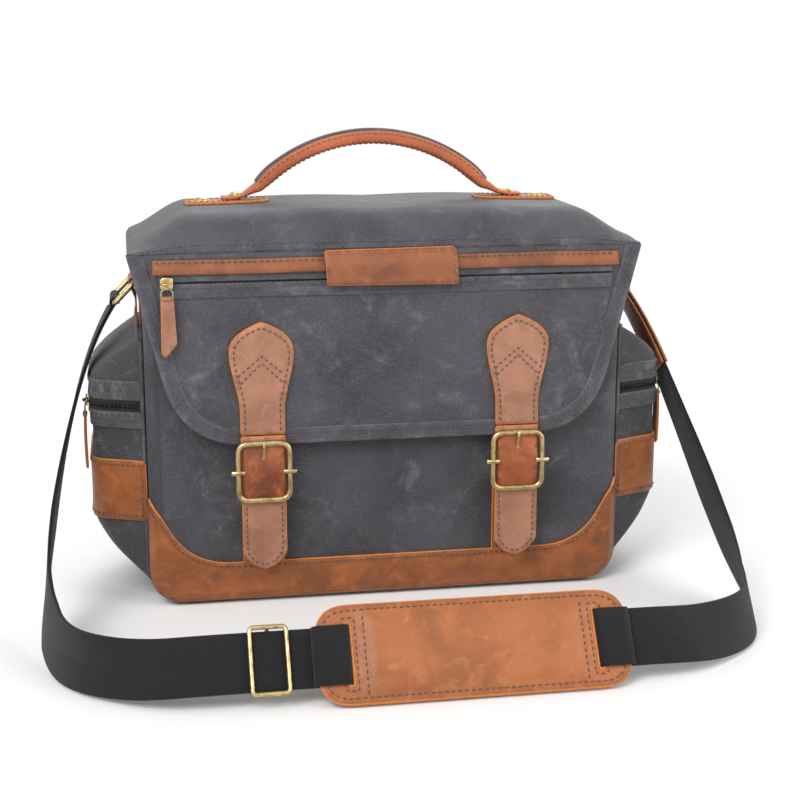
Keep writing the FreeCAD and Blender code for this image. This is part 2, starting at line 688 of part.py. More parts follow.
handleCentre = flapCrest + handleRise - handleRadius - handleThickness / 2
arch = doc.addObject("PartDesign::Body", "handle_arch")
archRing = arch.newObject("PartDesign::Revolution", "handle_arch_ring")
low = handleRadius - handleThickness / 2
high = handleRadius + handleThickness / 2
grip = handleWidth / 2
archRing.Profile = outline(arch, "handle_section", "YZ_Plane", [(-grip, low), (grip, low), (grip, high), (-grip, high)])
archRing.ReferenceAxis = (originPart(arch, "Y_Axis"), [""])
archRing.Midplane = True
drive(archRing, "Angle", handleSweep)
arch.Tip = archRing
place(arch, zero, handleOffset, handleCentre)
doc.recompute()
soften(arch, handleSoft, lambda spot: abs(spot.x) < 0.01)
node(arch, "handle")

handleTabY = span(handleOffset, handleTabWidth)
tabTop = flapCrest + leather
handleStuds = []
for side, name in ((-1, "left"), (1, "right")):
    tabX = outward(side, handleTabInner, handleTabInner + handleTabLength)
    node(box(f"{name}_handle_tab_leather", tabX, handleTabY, (flapCrest, tabTop)), f"handle_tab_{name}")
    for place_along in (0.38, 0.8):
        studX = (handleTabInner + handleTabLength * place_along) * side
        handleStuds.append(rod(f"{name}_handle_stud_{round(place_along * 100)}", studRadius, "z", studX, handleOffset,
                               (tabTop, tabTop + studHeight)))
node(joined("handle_stud_group", handleStuds), "handle_studs")


# ---- shoulder strap, laid round the front of the bag on its edge ----

def lean(item):
    item.Placement.Rotation.Axis = FreeCAD.Vector(-1, 0, 0)
    drive(item, "Placement.Rotation.Angle", runLean)


padHalf = padLength / 2
padBack = webbingThickness / 2 + gap
padSheet = plate("pad_sheet", "XZ_Plane", [(-padHalf, -padWidth / 2), (padHalf, -padWidth / 2),
                                           (padHalf, padWidth / 2), (-padHalf, padWidth / 2)], padThickness, y=-padBack)
soften(padSheet, padRound, lambda spot: near(spot, *cornerPair(padHalf, padWidth / 2),
                                             *cornerPair(padHalf, -padWidth / 2)))
padSlots = []
for side in (-1, 1):
    slotX = span((padHalf - padRound) * side, webbingThickness * 2)
    padSlots.append(box(f"pad_slot_{side + 2}", slotX, (-padBack - padThickness, -padBack),
                        span(zero, webbingWidth + gap * 2)))
pad = carved("pad_body", padSheet, joined("pad_slots", padSlots))
lean(pad)
place(pad, padPlace, -runFront, runHeight)
node(pad, "shoulder_pad")

railNear = webbingWidth / 2 + gap * 2
railReach = webbingThickness / 2 + gap + glideWire
glideX = span(zero, glideLength)
glideBars = []
for side in (-1, 1):
    rail = (railNear, railNear + glideWire) if side > 0 else (-railNear - glideWire, -railNear)
    glideBars.append(box(f"glide_rail_{side + 2}", glideX, (-railReach, railReach), rail))
    barMiddle = (glideLength - glideWire) / 2 * side
    glideBars.append(box(f"glide_end_{side + 2}", span(barMiddle, glideWire), (-railReach, glideWire - railReach),
                         (-railNear - glideWire, railNear + glideWire)))
glideBars.append(box("glide_middle", span(zero, glideWire), (railReach - glideWire, railReach),
                     (-railNear - glideWire, railNear + glideWire)))
glide = joined("glide_frame", glideBars)
lean(glide)
place(glide, -glidePlace, -runFront, runHeight)
node(glide, "strap_triglide")


def strapSections():
    # stations from the right ring to the front run: (centre, direction of travel, direction of the width)
    bulge = (halfWidth + pocketBulge).value
    front = runFront.value
    height = runHeight.value
    tilt = math.radians(runLean.value)
    flatHeight = webbingWidth.value / 2 + webbingThickness.value / 4
    start = FreeCAD.Vector(barX.value + 2.5, 0, barHeight.value - 5)
    chosen = [
        (start, (0, -1, 0)),
        (FreeCAD.Vector(bulge - 2, -6, pocketTop.value - 8), (0, -1, 0.05)),
        (FreeCAD.Vector(bulge + 14, -28, pocketZipHeight.value - 7), (0, -1, 0.2)),
        (FreeCAD.Vector(bulge + 26, -66, 92), (0, -0.9, 0.45)),
        (FreeCAD.Vector(bulge + 34, -112, 44), (-0.1, -0.5, 0.8)),
        (FreeCAD.Vector(bulge + 32, -168, flatHeight - 1), (-0.25, 0, 0.97)),
        (FreeCAD.Vector(bulge + 14, 34 - front, flatHeight), (-0.2, 0.15, 0.96)),
        (FreeCAD.Vector(bulge - 30, 8 - front, flatHeight + 2), (-0.1, 0.35, 0.93)),
        (FreeCAD.Vector(runHalf.value + 25, -front, height), (0, math.sin(tilt), math.cos(tilt))),
        (FreeCAD.Vector(runHalf.value, -front, height), (0, math.sin(tilt), math.cos(tilt))),
    ]
    curve = Part.BSplineCurve()
    curve.buildFromPoles([spot for spot, width in chosen], False, 3)
    stations = []
    legs = len(chosen) - 1
    count = legs * 3
    for index in range(count + 1):
        parameter = curve.FirstParameter + (curve.LastParameter - curve.FirstParameter) * index / count
        leg = min(index * legs // count, legs - 1)
        share = index * legs / count - leg
        travel = curve.tangent(parameter)[0]
        width = FreeCAD.Vector(*chosen[leg][1]) * (1 - share) + FreeCAD.Vector(*chosen[leg + 1][1]) * share
        width = (width - travel * width.dot(travel)).normalize()
        stations.append((curve.value(parameter), travel, width))
    return stations


def mirrored(vector):
    return FreeCAD.Vector(-vector.x, vector.y, vector.z)


def band(stations, width, thickness):
    wires = []
    for centre, travel, across in stations:
        normal = travel.cross(across).normalize()
        corners = []
        for sideways, through in ((-1, -1), (1, -1), (1, 1), (-1, 1)):
            corners.append(centre + across * (sideways * width / 2) + normal * (through * thickness / 2))
        wires.append(Part.makePolygon(corners + corners[:1]))
    return Part.makeLoft(wires, True, True)


def strapLoop(side, thickness, width):
    # the strap's end, turned round the ring's outer bar
    inner = ringWire.value + gap.value
    foot = FreeCAD.Vector(barX.value * side, -width / 2, barHeight.value)
    along = FreeCAD.Vector(0, 1, 0)
    outerTube = Part.makeCylinder(inner + thickness, width, foot, along)
    return outerTube, Part.makeCylinder(inner, width, foot, along)


rightSections = strapSections()
chapeSections = 1
covered = 0
while covered < chapeLength.value:
    covered += (rightSections[chapeSections][0] - rightSections[chapeSections - 1][0]).Length
    chapeSections += 1
webbing = webbingThickness.value
width = webbingWidth.value
leftSections = [(mirrored(centre), mirrored(travel) * -1, mirrored(across)) for centre, travel, across in rightSections]
webbingSections = leftSections + rightSections[chapeSections - 1:][::-1]
tube, hole = strapLoop(-1, webbing, width)
webbingNode = doc.addObject("Part::Feature", "strap_webbing")
webbingNode.Shape = band(webbingSections, width, webbing).fuse(tube).cut(hole)
node(webbingNode, "strap_webbing")

tube, hole = strapLoop(1, webbing, width)
chapeNode = doc.addObject("Part::Feature", "strap_chape")
chapeNode.Shape = band(rightSections[:chapeSections], width, webbing * 2).fuse(tube).cut(hole)
node(chapeNode, "strap_chape")


# ---- check every object, then write each sub-part ----

doc.recompute()
for item in doc.Objects:
    if "Invalid" in item.State or "Error" in item.State:
        raise RuntimeError(f"{item.Label} failed: {item.State}")
for item in nodes:
    if item.Shape.isNull() or not item.Shape.isValid() or not item.Shape.Solids:
        raise RuntimeError(f"{item.Label} has no valid solid")
if len({item.Label for item in nodes}) != len(nodes) or len(nodes) > 60:
    raise RuntimeError("node names repeat or there are too many")
for item in nodes:
    item.Shape.exportStep(f"parts/{item.Label}.step")
    print(item.Label, len(item.Shape.Solids), round(item.Shape.Volume))
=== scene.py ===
import bpy
import bmesh
import math
import random
from mathutils import Matrix, Vector, noise
from mathutils.geometry import delaunay_2d_cdt


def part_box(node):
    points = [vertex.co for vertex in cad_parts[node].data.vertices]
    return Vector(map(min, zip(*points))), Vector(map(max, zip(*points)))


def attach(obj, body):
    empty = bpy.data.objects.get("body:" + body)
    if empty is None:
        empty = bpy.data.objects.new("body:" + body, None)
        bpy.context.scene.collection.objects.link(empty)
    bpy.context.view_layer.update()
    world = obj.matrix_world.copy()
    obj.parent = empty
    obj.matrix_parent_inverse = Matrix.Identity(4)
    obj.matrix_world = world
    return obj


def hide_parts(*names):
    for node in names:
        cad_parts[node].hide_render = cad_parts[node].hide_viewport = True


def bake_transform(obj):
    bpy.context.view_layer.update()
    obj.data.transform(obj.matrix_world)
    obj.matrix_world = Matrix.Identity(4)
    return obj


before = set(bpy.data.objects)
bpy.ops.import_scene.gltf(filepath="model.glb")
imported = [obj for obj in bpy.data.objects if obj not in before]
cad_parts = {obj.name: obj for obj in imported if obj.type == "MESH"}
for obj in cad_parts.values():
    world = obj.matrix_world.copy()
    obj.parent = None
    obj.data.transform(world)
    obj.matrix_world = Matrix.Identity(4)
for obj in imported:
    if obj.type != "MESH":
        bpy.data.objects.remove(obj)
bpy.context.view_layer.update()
random.seed(11)


# materials

class Value:
    # wraps a number socket, so that shader maths reads as plain arithmetic
    def __init__(self, finish, socket):
        self.finish = finish
        self.socket = socket

    def maths(self, operation, first, second=0.0, clamp=False):
        made = self.finish.node("ShaderNodeMath", dict(operation=operation, use_clamp=clamp),
                                {0: first, 1: second})
        return Value(self.finish, made.outputs[0])

    def __add__(self, other):
        return self.maths("ADD", self, other)

    def __radd__(self, other):
        return self.maths("ADD", other, self)

    def __sub__(self, other):
        return self.maths("SUBTRACT", self, other)

    def __rsub__(self, other):
        return self.maths("SUBTRACT", other, self)

    def __mul__(self, other):
        return self.maths("MULTIPLY", self, other)

    def __rmul__(self, other):
        return self.maths("MULTIPLY", other, self)

    def __truediv__(self, other):
        return self.maths("DIVIDE", self, other)

    def __pow__(self, other):
        return self.maths("POWER", self, other)

    def sine(self):
        return self.maths("SINE", self)

    def size(self):
        return self.maths("ABSOLUTE", self)

    def most(self, other):
        return self.maths("MAXIMUM", self, other)

    def held(self):
        return self.maths("ADD", self, 0.0, True)

    def ramp(self, low, high):
        # 0 at low and 1 at high, eased between; low may be the larger
        made = self.finish.node("ShaderNodeMapRange", dict(interpolation_type="SMOOTHSTEP"),
                                {"Value": self, "From Min": low, "From Max": high, "To Min": 0.0,
                                 "To Max": 1.0})
        return Value(self.finish, made.outputs[0])


class Finish:
    # one material: a Principled shader, and the "cloth" and "rim" attributes that every mesh here carries
    def __init__(self, name, **sockets):
        self.material = bpy.data.materials.new(name)
        self.material.use_nodes = True
        self.tree = self.material.node_tree
        self.shader = self.tree.nodes["Principled BSDF"]
        self.feed(self.shader, sockets)
        self.place = self.node("ShaderNodeAttribute", dict(attribute_name="cloth")).outputs["Vector"]
        self.rim = Value(self, self.node("ShaderNodeAttribute", dict(attribute_name="rim")).outputs["Fac"])

    def feed(self, target, sockets):
        for key, given in sockets.items():
            given = given.socket if isinstance(given, Value) else given
            if isinstance(given, bpy.types.NodeSocket):
                self.tree.links.new(given, target.inputs[key])
            else:
                target.inputs[key].default_value = given

    def node(self, kind, settings=None, sockets=None):
        made = self.tree.nodes.new(kind)
        for key, given in (settings or {}).items():
            setattr(made, key, given)
        self.feed(made, sockets or {})
        return made

    def stretched(self, scale):
        return self.node("ShaderNodeVectorMath", dict(operation="MULTIPLY"),
                         {0: self.place, 1: scale}).outputs[0]

    def cloud(self, scale, detail=3.0, rough=0.55, bend=0.0, stretch=None):
        where = self.stretched(stretch) if stretch else self.place
        made = self.node("ShaderNodeTexNoise", None, {"Vector": where, "Scale": scale, "Detail": detail,
                                                      "Roughness": rough, "Distortion": bend})
        return Value(self, made.outputs[0])

    def cells(self, scale, feature="F1"):
        made = self.node("ShaderNodeTexVoronoi", dict(feature=feature),
                         {"Vector": self.place, "Scale": scale})
        return Value(self, made.outputs["Distance"])

    def along(self, axis):
        made = self.node("ShaderNodeSeparateXYZ", None, {0: self.place})
        return Value(self, made.outputs[axis])

    def mix(self, amount, first, second):
        made = self.node("ShaderNodeMix", dict(data_type="RGBA"), {"Factor": amount, 6: first, 7: second})
        return made.outputs[2]

    def bump(self, height, distance, strength=1.0, under=None):
        sockets = {"Height": height, "Distance": distance, "Strength": strength}
        if under:
            sockets["Normal"] = under
        return self.node("ShaderNodeBump", None, sockets).outputs[0]

    def done(self, **sockets):
        self.feed(self.shader, {key.replace("_", " "): given for key, given in sockets.items()})
        return self.material


def tone(red, green, blue):
    # a colour as seen on screen, 0 to 255, as the shader wants it
    return [((part / 255 + 0.055) / 1.055) ** 2.4 if part > 10 else part / 3294
            for part in (red, green, blue)] + [1.0]


canvasLook = dict(body=tone(68, 67, 72), dark=tone(47, 46, 51), worn=tone(122, 120, 124), thread=620.0)


def canvasFinish(name, shade=1.0):
    make = Finish(name, Roughness=0.62, **{"Specular IOR Level": 0.32, "Sheen Weight": 0.12,
                                           "Sheen Roughness": 0.5})
    across = (make.along("X") * (canvasLook["thread"] * math.tau)).sine()
    down = (make.along("Y") * (canvasLook["thread"] * math.tau)).sine()
    weave = across * down
    mottle = make.cloud(16, 5, 0.62)
    fleck = make.cloud(760, 3, 0.6)
    wax = make.cloud(34, 6, 0.7, 0.8)
    fold = (make.cloud(11, 3, 0.55, 0.6) - 0.5).size().ramp(0.030, 0.0)
    nick = (make.cloud(30, 3, 0.55, 0.9, (1.0, 0.7, 1.0)) - 0.5).size().ramp(0.014, 0.0)
    slub = make.cloud(240, 4, 0.7, 0.0, (1.0, 4.0, 1.0)).ramp(0.45, 0.8)
    rubbed = ((fold * 0.3 + nick * 0.32) * wax.ramp(0.46, 0.7) + make.rim * wax.ramp(0.35, 0.6) * 0.45).held()
    # shade below 1 scales both cloth tones down, as painted shade
    dark = [part * shade for part in canvasLook["dark"][:3]] + [1.0]
    body = [part * shade for part in canvasLook["body"][:3]] + [1.0]
    cloth = make.mix(mottle.ramp(0.30, 0.66), dark, body)
    speck = fleck.ramp(0.4, 0.75) * 0.26 + slub * 0.14 + weave * 0.12 + wax.ramp(0.5, 0.8) * 0.34
    cloth = make.mix(speck.held(), cloth, canvasLook["worn"])
    cloth = make.mix(rubbed, cloth, canvasLook["worn"])
    crumple = make.bump(make.cloud(60, 5, 0.6, 0.4), 0.0016, 0.5)
    normal = make.bump(weave * 0.5 + fleck * 0.8, 0.0003, 0.6, crumple)
    return make.done(Base_Color=cloth, Roughness=0.7 - mottle * 0.16 - rubbed * 0.08, Normal=normal)


def leatherFinish(name, light, body, dark, gloss=0.42, blotch=1.0, crease=1.0):
    make = Finish(name, Roughness=gloss, **{"Specular IOR Level": 0.42, "Coat Weight": 0.06,
                                            "Coat Roughness": 0.35})
    patch = make.cloud(26, 5, 0.6, 0.5)
    pull = make.cloud(70, 6, 0.65, 1.0)
    grain = make.cells(1100)
    pores = make.cells(2600, "SMOOTH_F1")
    scratch = (make.cloud(48, 2, 0.5, 0.2, (0.3, 1.0, 1.0))
               - 0.5).size().ramp(0.007, 0.0) * patch.ramp(0.45, 0.6)
    hide = make.mix(patch.ramp(0.62, 0.34) * blotch, body, dark)
    hide = make.mix(pull.ramp(0.5, 0.74) * 0.7 * blotch, hide, light)
    hide = make.mix((scratch * 0.22 * crease + make.rim * pull.ramp(0.35, 0.65) * 0.5).held(), hide, light)
    hide = make.mix(make.rim.ramp(0.75, 1.0) * 0.45, hide, dark)
    soft = make.bump(patch + make.cloud(140, 3, 0.5) * 0.4, 0.0012, 0.4 * crease)
    normal = make.bump(grain.ramp(0.0, 0.6) + pores * 0.4 + scratch * -0.5, 0.00022, 0.55, soft)
    return make.done(Base_Color=hide, Roughness=gloss + pull * 0.16 - patch * 0.1, Normal=normal)


def edgeFinish(name, light, dark):
    # the raw cut edge of a hide: layered fibres, waxed in places
    make = Finish(name, Roughness=0.66, **{"Specular IOR Level": 0.3})
    fibre = make.cloud(500, 4, 0.6)
    wax = make.cloud(60, 3, 0.5)
    return make.done(Base_Color=make.mix(fibre.ramp(0.35, 0.65) * 0.6 + wax * 0.3, light, dark),
                     Normal=make.bump(fibre, 0.0004, 0.6))


def threadFinish(name, light, dark):
    make = Finish(name, Roughness=0.6, **{"Sheen Weight": 0.3})
    twist = ((make.along("X") + make.along("Y") * 0.6) * (2600 * math.tau)).sine()
    return make.done(Base_Color=make.mix(twist.ramp(-1.0, 1.0) * 0.6 + make.cloud(200, 2) * 0.3, dark, light),
                     Normal=make.bump(twist, 0.00015, 0.5))


def metalFinish(name, light, dark, gloss=0.3):
    make = Finish(name, Metallic=1.0, Roughness=gloss)
    age = make.cloud(130, 4, 0.6, 0.2)
    spot = make.cloud(900, 3, 0.6)
    worn = (age.ramp(0.22, 0.66) * 0.85 + make.rim * 0.5).held()
    metal = make.mix(worn, dark, light)
    metal = make.mix(spot.ramp(0.6, 0.8) * 0.22, metal, dark)
    return make.done(Base_Color=metal, Roughness=gloss + 0.14 - worn * 0.12,
                     Normal=make.bump(spot + age, 0.00005, 0.18))


def ribFinish(name, light, dark, pitch, lean=0.0):
    # woven tape: ribs along the length, crossed by a fine slanted pick
    make = Finish(name, Roughness=0.7, **{"Specular IOR Level": 0.3, "Sheen Weight": 0.1,
                                          "Sheen Roughness": 0.5})
    rib = (make.along("Y") * (math.tau / pitch)).sine()
    pick = ((make.along("X") + make.along("Y").size() * lean) * (math.tau / (pitch * 0.8))).sine()
    lint = make.cloud(700, 3, 0.6)
    weave = rib * 0.5 + pick * 0.5
    return make.done(Base_Color=make.mix((weave.ramp(-0.7, 1.0) * 0.6 + lint.ramp(0.5, 0.7) * 0.4).held(),
                                         dark, light),
                     Roughness=0.75 - weave * 0.08, Normal=make.bump(weave + lint * 0.4, 0.0004, 0.7))


def plainClothFinish(name, light, dark, nap=0.0):
    make = Finish(name, Roughness=0.8, **{"Specular IOR Level": 0.25, "Sheen Weight": 0.25 + nap})
    weave = (make.along("X") * (1300 * math.tau)).sine() * (make.along("Y") * (1300 * math.tau)).sine()
    mottle = make.cloud(20, 4, 0.6)
    crush = make.cloud(70, 4, 0.6, 0.5)
    return make.done(Base_Color=make.mix(mottle.ramp(0.3, 0.7) * 0.7 + weave * 0.08, dark, light),
                     Roughness=0.86 - mottle * 0.12,
                     Normal=make.bump(weave * 0.6, 0.0002, 0.5, make.bump(crush, 0.0015, 0.45)))


finishes = dict(
    canvas=canvasFinish("waxedCanvas"),
    # the same canvas at 0.62 brightness: painted shade for the side pockets
    canvasPaintedShade=canvasFinish("waxedCanvasShaded", 0.62),
    oiled=leatherFinish("oiledLeather", tone(182, 108, 55), tone(152, 86, 41), tone(104, 57, 28), 0.42, 0.75),
    welt=leatherFinish("weltLeather", tone(172, 106, 68), tone(142, 84, 52), tone(104, 59, 36), 0.46, 0.7),
    strap=leatherFinish("strapLeather", tone(194, 142, 115), tone(169, 118, 93), tone(128, 82, 61), 0.55,
                        0.6),
    inside=leatherFinish("buckledLeather", tone(196, 112, 60), tone(160, 84, 43), tone(104, 52, 26), 0.3, 0.8,
                         1.3),
    handle=leatherFinish("handleLeather", tone(212, 130, 90), tone(192, 106, 68), tone(150, 78, 47), 0.5,
                         0.55, 0.6),
    pad=leatherFinish("padLeather", tone(194, 122, 72), tone(168, 99, 54), tone(132, 74, 38), 0.4, 0.7),
    edge=edgeFinish("rawEdge", tone(224, 142, 74), tone(176, 98, 46)),
    edgeDark=edgeFinish("burnishedEdge", tone(120, 72, 48), tone(78, 44, 30)),
    thread=threadFinish("brownThread", tone(120, 84, 58), tone(70, 46, 32)),
    threadGrey=threadFinish("greyThread", tone(104, 100, 104), tone(52, 50, 56)),
    threadTan=threadFinish("tanThread", tone(196, 132, 84), tone(140, 84, 48)),
    brass=metalFinish("antiqueBrass", tone(214, 194, 142), tone(138, 112, 70), 0.27),
    brassDark=metalFinish("darkBrass", tone(150, 122, 78), tone(70, 54, 34), 0.38),
    webbing=ribFinish("blackWebbing", tone(28, 27, 30), tone(9, 9, 11), 0.0016, 0.5),
    tape=ribFinish("zipTape", tone(48, 46, 52), tone(24, 22, 26), 0.0009, 1.0),
    teeth=metalFinish("zipTeeth", tone(70, 66, 64), tone(28, 26, 28), 0.4),
    lining=plainClothFinish("liningCloth", tone(204, 122, 100), tone(172, 92, 74)),
    insert=plainClothFinish("insertCloth", tone(212, 110, 66), tone(170, 78, 42), 0.3),
    board=plainClothFinish("boardCloth", tone(40, 39, 42), tone(24, 24, 26)),
)
print("materials:", len(finishes))


# mesh helpers: each works on flat cloth coordinates, which a "skin" function puts in place

def finishMesh(name, points, faces, cloth, rim, looks, marks=None, smooth=True):
    # points in metres; cloth and rim are one value a point; looks are materials and marks say
    # which face has which
    mesh = bpy.data.meshes.new(name)
    mesh.from_pydata(points, [], faces)
    mesh.attributes.new("cloth", "FLOAT_VECTOR", "POINT").data.foreach_set("vector",
                                                                           [c for p in cloth for c in p])
    mesh.attributes.new("rim", "FLOAT", "POINT").data.foreach_set("value", list(rim))
    for look in looks:
        mesh.materials.append(finishes[look])
    if marks:
        mesh.polygons.foreach_set("material_index", marks)
    mesh.polygons.foreach_set("use_smooth", [smooth] * len(faces))
    mesh.update()
    item = bpy.data.objects.new(name, mesh)
    bpy.context.scene.collection.objects.link(item)
    return item


class Pile:
    # gathers many small closed forms into one mesh
    def __init__(self):
        self.points, self.faces, self.cloth, self.rim, self.marks = [], [], [], [], []

    def add(self, points, faces, cloth=None, rim=0.0, mark=0):
        first = len(self.points)
        self.points += [tuple(p) for p in points]
        self.cloth += [tuple(c) for c in (cloth or points)]
        self.rim += list(rim) if hasattr(rim, "__len__") else [rim] * len(points)
        self.faces += [tuple(first + index for index in face) for face in faces]
        self.marks += [mark] * len(faces)

    def make(self, name, looks, smooth=True):
        return finishMesh(name, self.points, self.faces, self.cloth, self.rim, looks, self.marks, smooth)


def ease(low, high, value):
    share = min(max((value - low) / (high - low), 0.0), 1.0)
    return share * share * (3 - 2 * share)


def roundCorners(corners, radii, steps=8):
    # a closed outline with each corner turned into an arc
    outline = []
    count = len(corners)
    for index, corner in enumerate(corners):
        here = Vector(corner)
        back = Vector(corners[index - 1]) - here
        ahead = Vector(corners[(index + 1) % count]) - here
        radius = radii[index] if hasattr(radii, "__len__") else radii
        angle = back.angle(ahead)
        reach = min(radius / math.tan(angle / 2), back.length * 0.49,
                    ahead.length * 0.49) if radius > 0 else 0
        if reach < 1e-6:
            outline.append(tuple(here))
            continue
        first = here + back.normalized() * reach
        last = here + ahead.normalized() * reach
        for step in range(steps + 1):
            share = step / steps
            outline.append(tuple(first.lerp(here, share).lerp(here.lerp(last, share), share)))
    return outline


def evenly(outline, spacing, closed=True):
    # the same line with points at an even spacing
    points = [Vector(p) for p in outline]
    if closed:
        points.append(points[0].copy())
    lengths = [0.0]
    for first, second in zip(points, points[1:]):
        lengths.append(lengths[-1] + (second - first).length)
    count = max(int(round(lengths[-1] / spacing)), 3)
    made = []
    leg = 0
    for index in range(count if closed else count + 1):
        want = lengths[-1] * index / count
        while leg < len(lengths) - 2 and lengths[leg + 1] < want:
            leg += 1
        gapLength = lengths[leg + 1] - lengths[leg]
        share = (want - lengths[leg]) / gapLength if gapLength else 0.0
        made.append(points[leg].lerp(points[leg + 1], share))
    return made


def evenly3(line, spacing):
    # even spacing round a closed line in space
    loop = line + [line[0]]
    lengths = [0.0]
    for first, second in zip(loop, loop[1:]):
        lengths.append(lengths[-1] + (second - first).length)
    count = int(lengths[-1] / spacing)
    made = []
    leg = 0
    for index in range(count):
        want = lengths[-1] * index / count
        while lengths[leg + 1] < want:
            leg += 1
        share = (want - lengths[leg]) / max(lengths[leg + 1] - lengths[leg], 1e-9)
        made.append(loop[leg].lerp(loop[leg + 1], share))
    return made


def insetLine(outline, distance, closed=True):
    # an outline drawn in by a distance, for a line that runs anticlockwise
    made = []
    count = len(outline)
    for index in range(count):
        before = outline[index - 1] if closed or index else outline[0]
        after = outline[(index + 1) % count] if closed or index < count - 1 else outline[-1]
        travel = (after - before).normalized()
        made.append(outline[index] + Vector((-travel.y, travel.x)) * distance)
    return made


def area(outline):
    return sum(a.x * b.y - b.x * a.y for a, b in zip(outline, outline[1:] + outline[:1])) / 2


def plate(name, corners, skin, thick, looks, radii=0.0, bevel=0.0006, spacing=0.004, edge=None, seed=0.0,
          crown=0.0, steps=8, pile=None, make=True, fade=0.004):
    # a flat piece cut to an outline, bent over a skin; the outside lies at thick above it
    edge = edge or spacing
    outline = evenly(roundCorners(corners, radii, steps), edge)
    if area(outline) < 0:
        outline.reverse()
    inner = insetLine(outline, bevel)
    count = len(outline)
    lows = [min(p[axis] for p in inner) for axis in (0, 1)]
    highs = [max(p[axis] for p in inner) for axis in (0, 1)]
    fill = []
    columns = max(int((highs[0] - lows[0]) / spacing), 1)
    rows = max(int((highs[1] - lows[1]) / spacing), 1)
    safe = insetLine(outline, bevel + spacing * 0.45)
    for column in range(columns + 1):
        for row in range(rows + 1):
            spot = Vector((lows[0] + (highs[0] - lows[0]) * column / columns,
                           lows[1] + (highs[1] - lows[1]) * row / rows))
            if within(spot, safe):
                fill.append(spot)
    edges = [(index, (index + 1) % count) for index in range(count)]
    flat, ignored, triangles = delaunay_2d_cdt(inner + fill, edges, [], 1, 1e-7)[:3]
    reach = [min(edgeDistance(spot, outline), fade * 3) for spot in flat]
    pile = pile or Pile()
    total = len(flat)
    points, cloth, rim = [], [], []
    for side in (1, 0):
        for spot, inside in zip(flat, reach):
            lift = crown * ease(0, fade * 3, inside) if side else 0.0
            points.append(skin(spot.x, spot.y, (thick + lift) * side))
            cloth.append((spot.x + seed, spot.y + seed, seed + 0.01 * side))
            rim.append(math.exp(-inside / fade) if side else 0.0)
    faces = [tuple(triangle) for triangle in triangles]
    faces += [tuple(total + index for index in reversed(triangle)) for triangle in triangles]
    pile.add(points, faces, cloth, rim)
    # the rim: from the front face's edge out to the full outline, down, and back in under it
    ring = []
    for level, line in ((1.0, inner), (0.72, outline), (0.28, outline), (0.0, inner)):
        ring.append([skin(spot.x, spot.y, thick * level) for spot in line])
    points = [spot for line in ring for spot in line]
    cloth = [(spot.x + seed, spot.y + seed, thick * level) for level in (1.0, 0.7, 0.3,
                                                                         0.0) for spot in outline]
    faces = []
    for band in range(3):
        for index in range(count):
            after = (index + 1) % count
            faces.append((band * count + index, (band + 1) * count + index, (band + 1) * count + after,
                          band * count + after))
    pile.add(points, faces, cloth, 1.0, 1 if len(looks) > 1 else 0)
    if not make:
        return pile
    return weld(pile.make(name, looks))


def within(spot, outline):
    inside = False
    for first, second in zip(outline, outline[1:] + outline[:1]):
        if (first.y > spot.y) != (second.y > spot.y):
            if spot.x < (second.x - first.x) * (spot.y - first.y) / (second.y - first.y) + first.x:
                inside = not inside
    return inside


def edgeDistance(spot, outline):
    return min((spot - point).length for point in outline)


def weld(item, distance=0.00002):
    # closes the seams between a piece's faces and sets every face outwards
    work = bmesh.new()
    work.from_mesh(item.data)
    bmesh.ops.remove_doubles(work, verts=work.verts, dist=distance)
    bmesh.ops.recalc_face_normals(work, faces=work.faces)
    work.to_mesh(item.data)
    work.free()
    return item


def loft(pile, rings, cloth=None, around=True, along=False, caps=True, rim=0.0, mark=0):
    # joins rings of points, around each ring and, for a closed hoop, from the last back to the first
    count = len(rings[0])
    points = [spot for ring in rings for spot in ring]
    faces = []
    for index in range(len(rings) if along else len(rings) - 1):
        following = (index + 1) % len(rings)
        for side in range(count if around else count - 1):
            after = (side + 1) % count
            faces.append((index * count + side, index * count + after, following * count + after,
                          following * count + side))
    if caps and around and not along:
        faces.append(tuple(reversed(range(count))))
        faces.append(tuple(range(len(points) - count, len(points))))
    pile.add(points, faces, cloth, rim, mark)


def travel(line, closed=False):
    # the direction of a line at each of its points
    count = len(line)
    made = []
    for index in range(count):
        before = line[index - 1] if closed or index else line[0]
        after = line[(index + 1) % count] if closed or index < count - 1 else line[-1]
        made.append((after - before).normalized())
    return made


def tube(pile, line, radius, closed=False, sides=8, mark=0, rim=0.0, flat=1.0, up=None):
    # a round bar along a line; flat presses it along up
    line = [Vector(p) for p in line]
    rings, cloth = [], []
    side = None
    reach = 0.0
    for index, heading in enumerate(travel(line, closed)):
        if up:
            side = heading.cross(Vector(up)).normalized()
        elif side is None:
            side = heading.orthogonal().normalized()
        else:
            side = (side - heading * side.dot(heading)).normalized()
        other = heading.cross(side)
        size = radius[index] if hasattr(radius, "__len__") else radius
        ring = []
        reach += (line[index] - line[index - 1]).length if index else 0.0
        for step in range(sides):
            angle = math.tau * step / sides
            ring.append(line[index] + side * (size * math.cos(angle))
                        + other * (size * flat * math.sin(angle)))
            cloth.append((reach, size * angle, line[index].x))
        rings.append(ring)
    loft(pile, rings, cloth, True, closed, not closed, rim, mark)


def turned(pile, centre, axis, profile, sides=24, mark=0, rim=0.0):
    # a lathe form: profile is pairs of radius and height along the axis, from foot to crown
    axis = Vector(axis).normalized()
    side = axis.orthogonal().normalized()
    other = axis.cross(side)
    centre = Vector(centre)
    rings, cloth = [], []
    for radius, height in profile:
        ring = []
        for step in range(sides):
            angle = math.tau * step / sides
            ring.append(centre + axis * height + (side * math.cos(angle) + other * math.sin(angle)) * radius)
            cloth.append((radius * math.cos(angle) + centre.x, radius * math.sin(angle) + centre.z, height))
        rings.append(ring)
    loft(pile, rings, cloth, rim=rim, mark=mark)


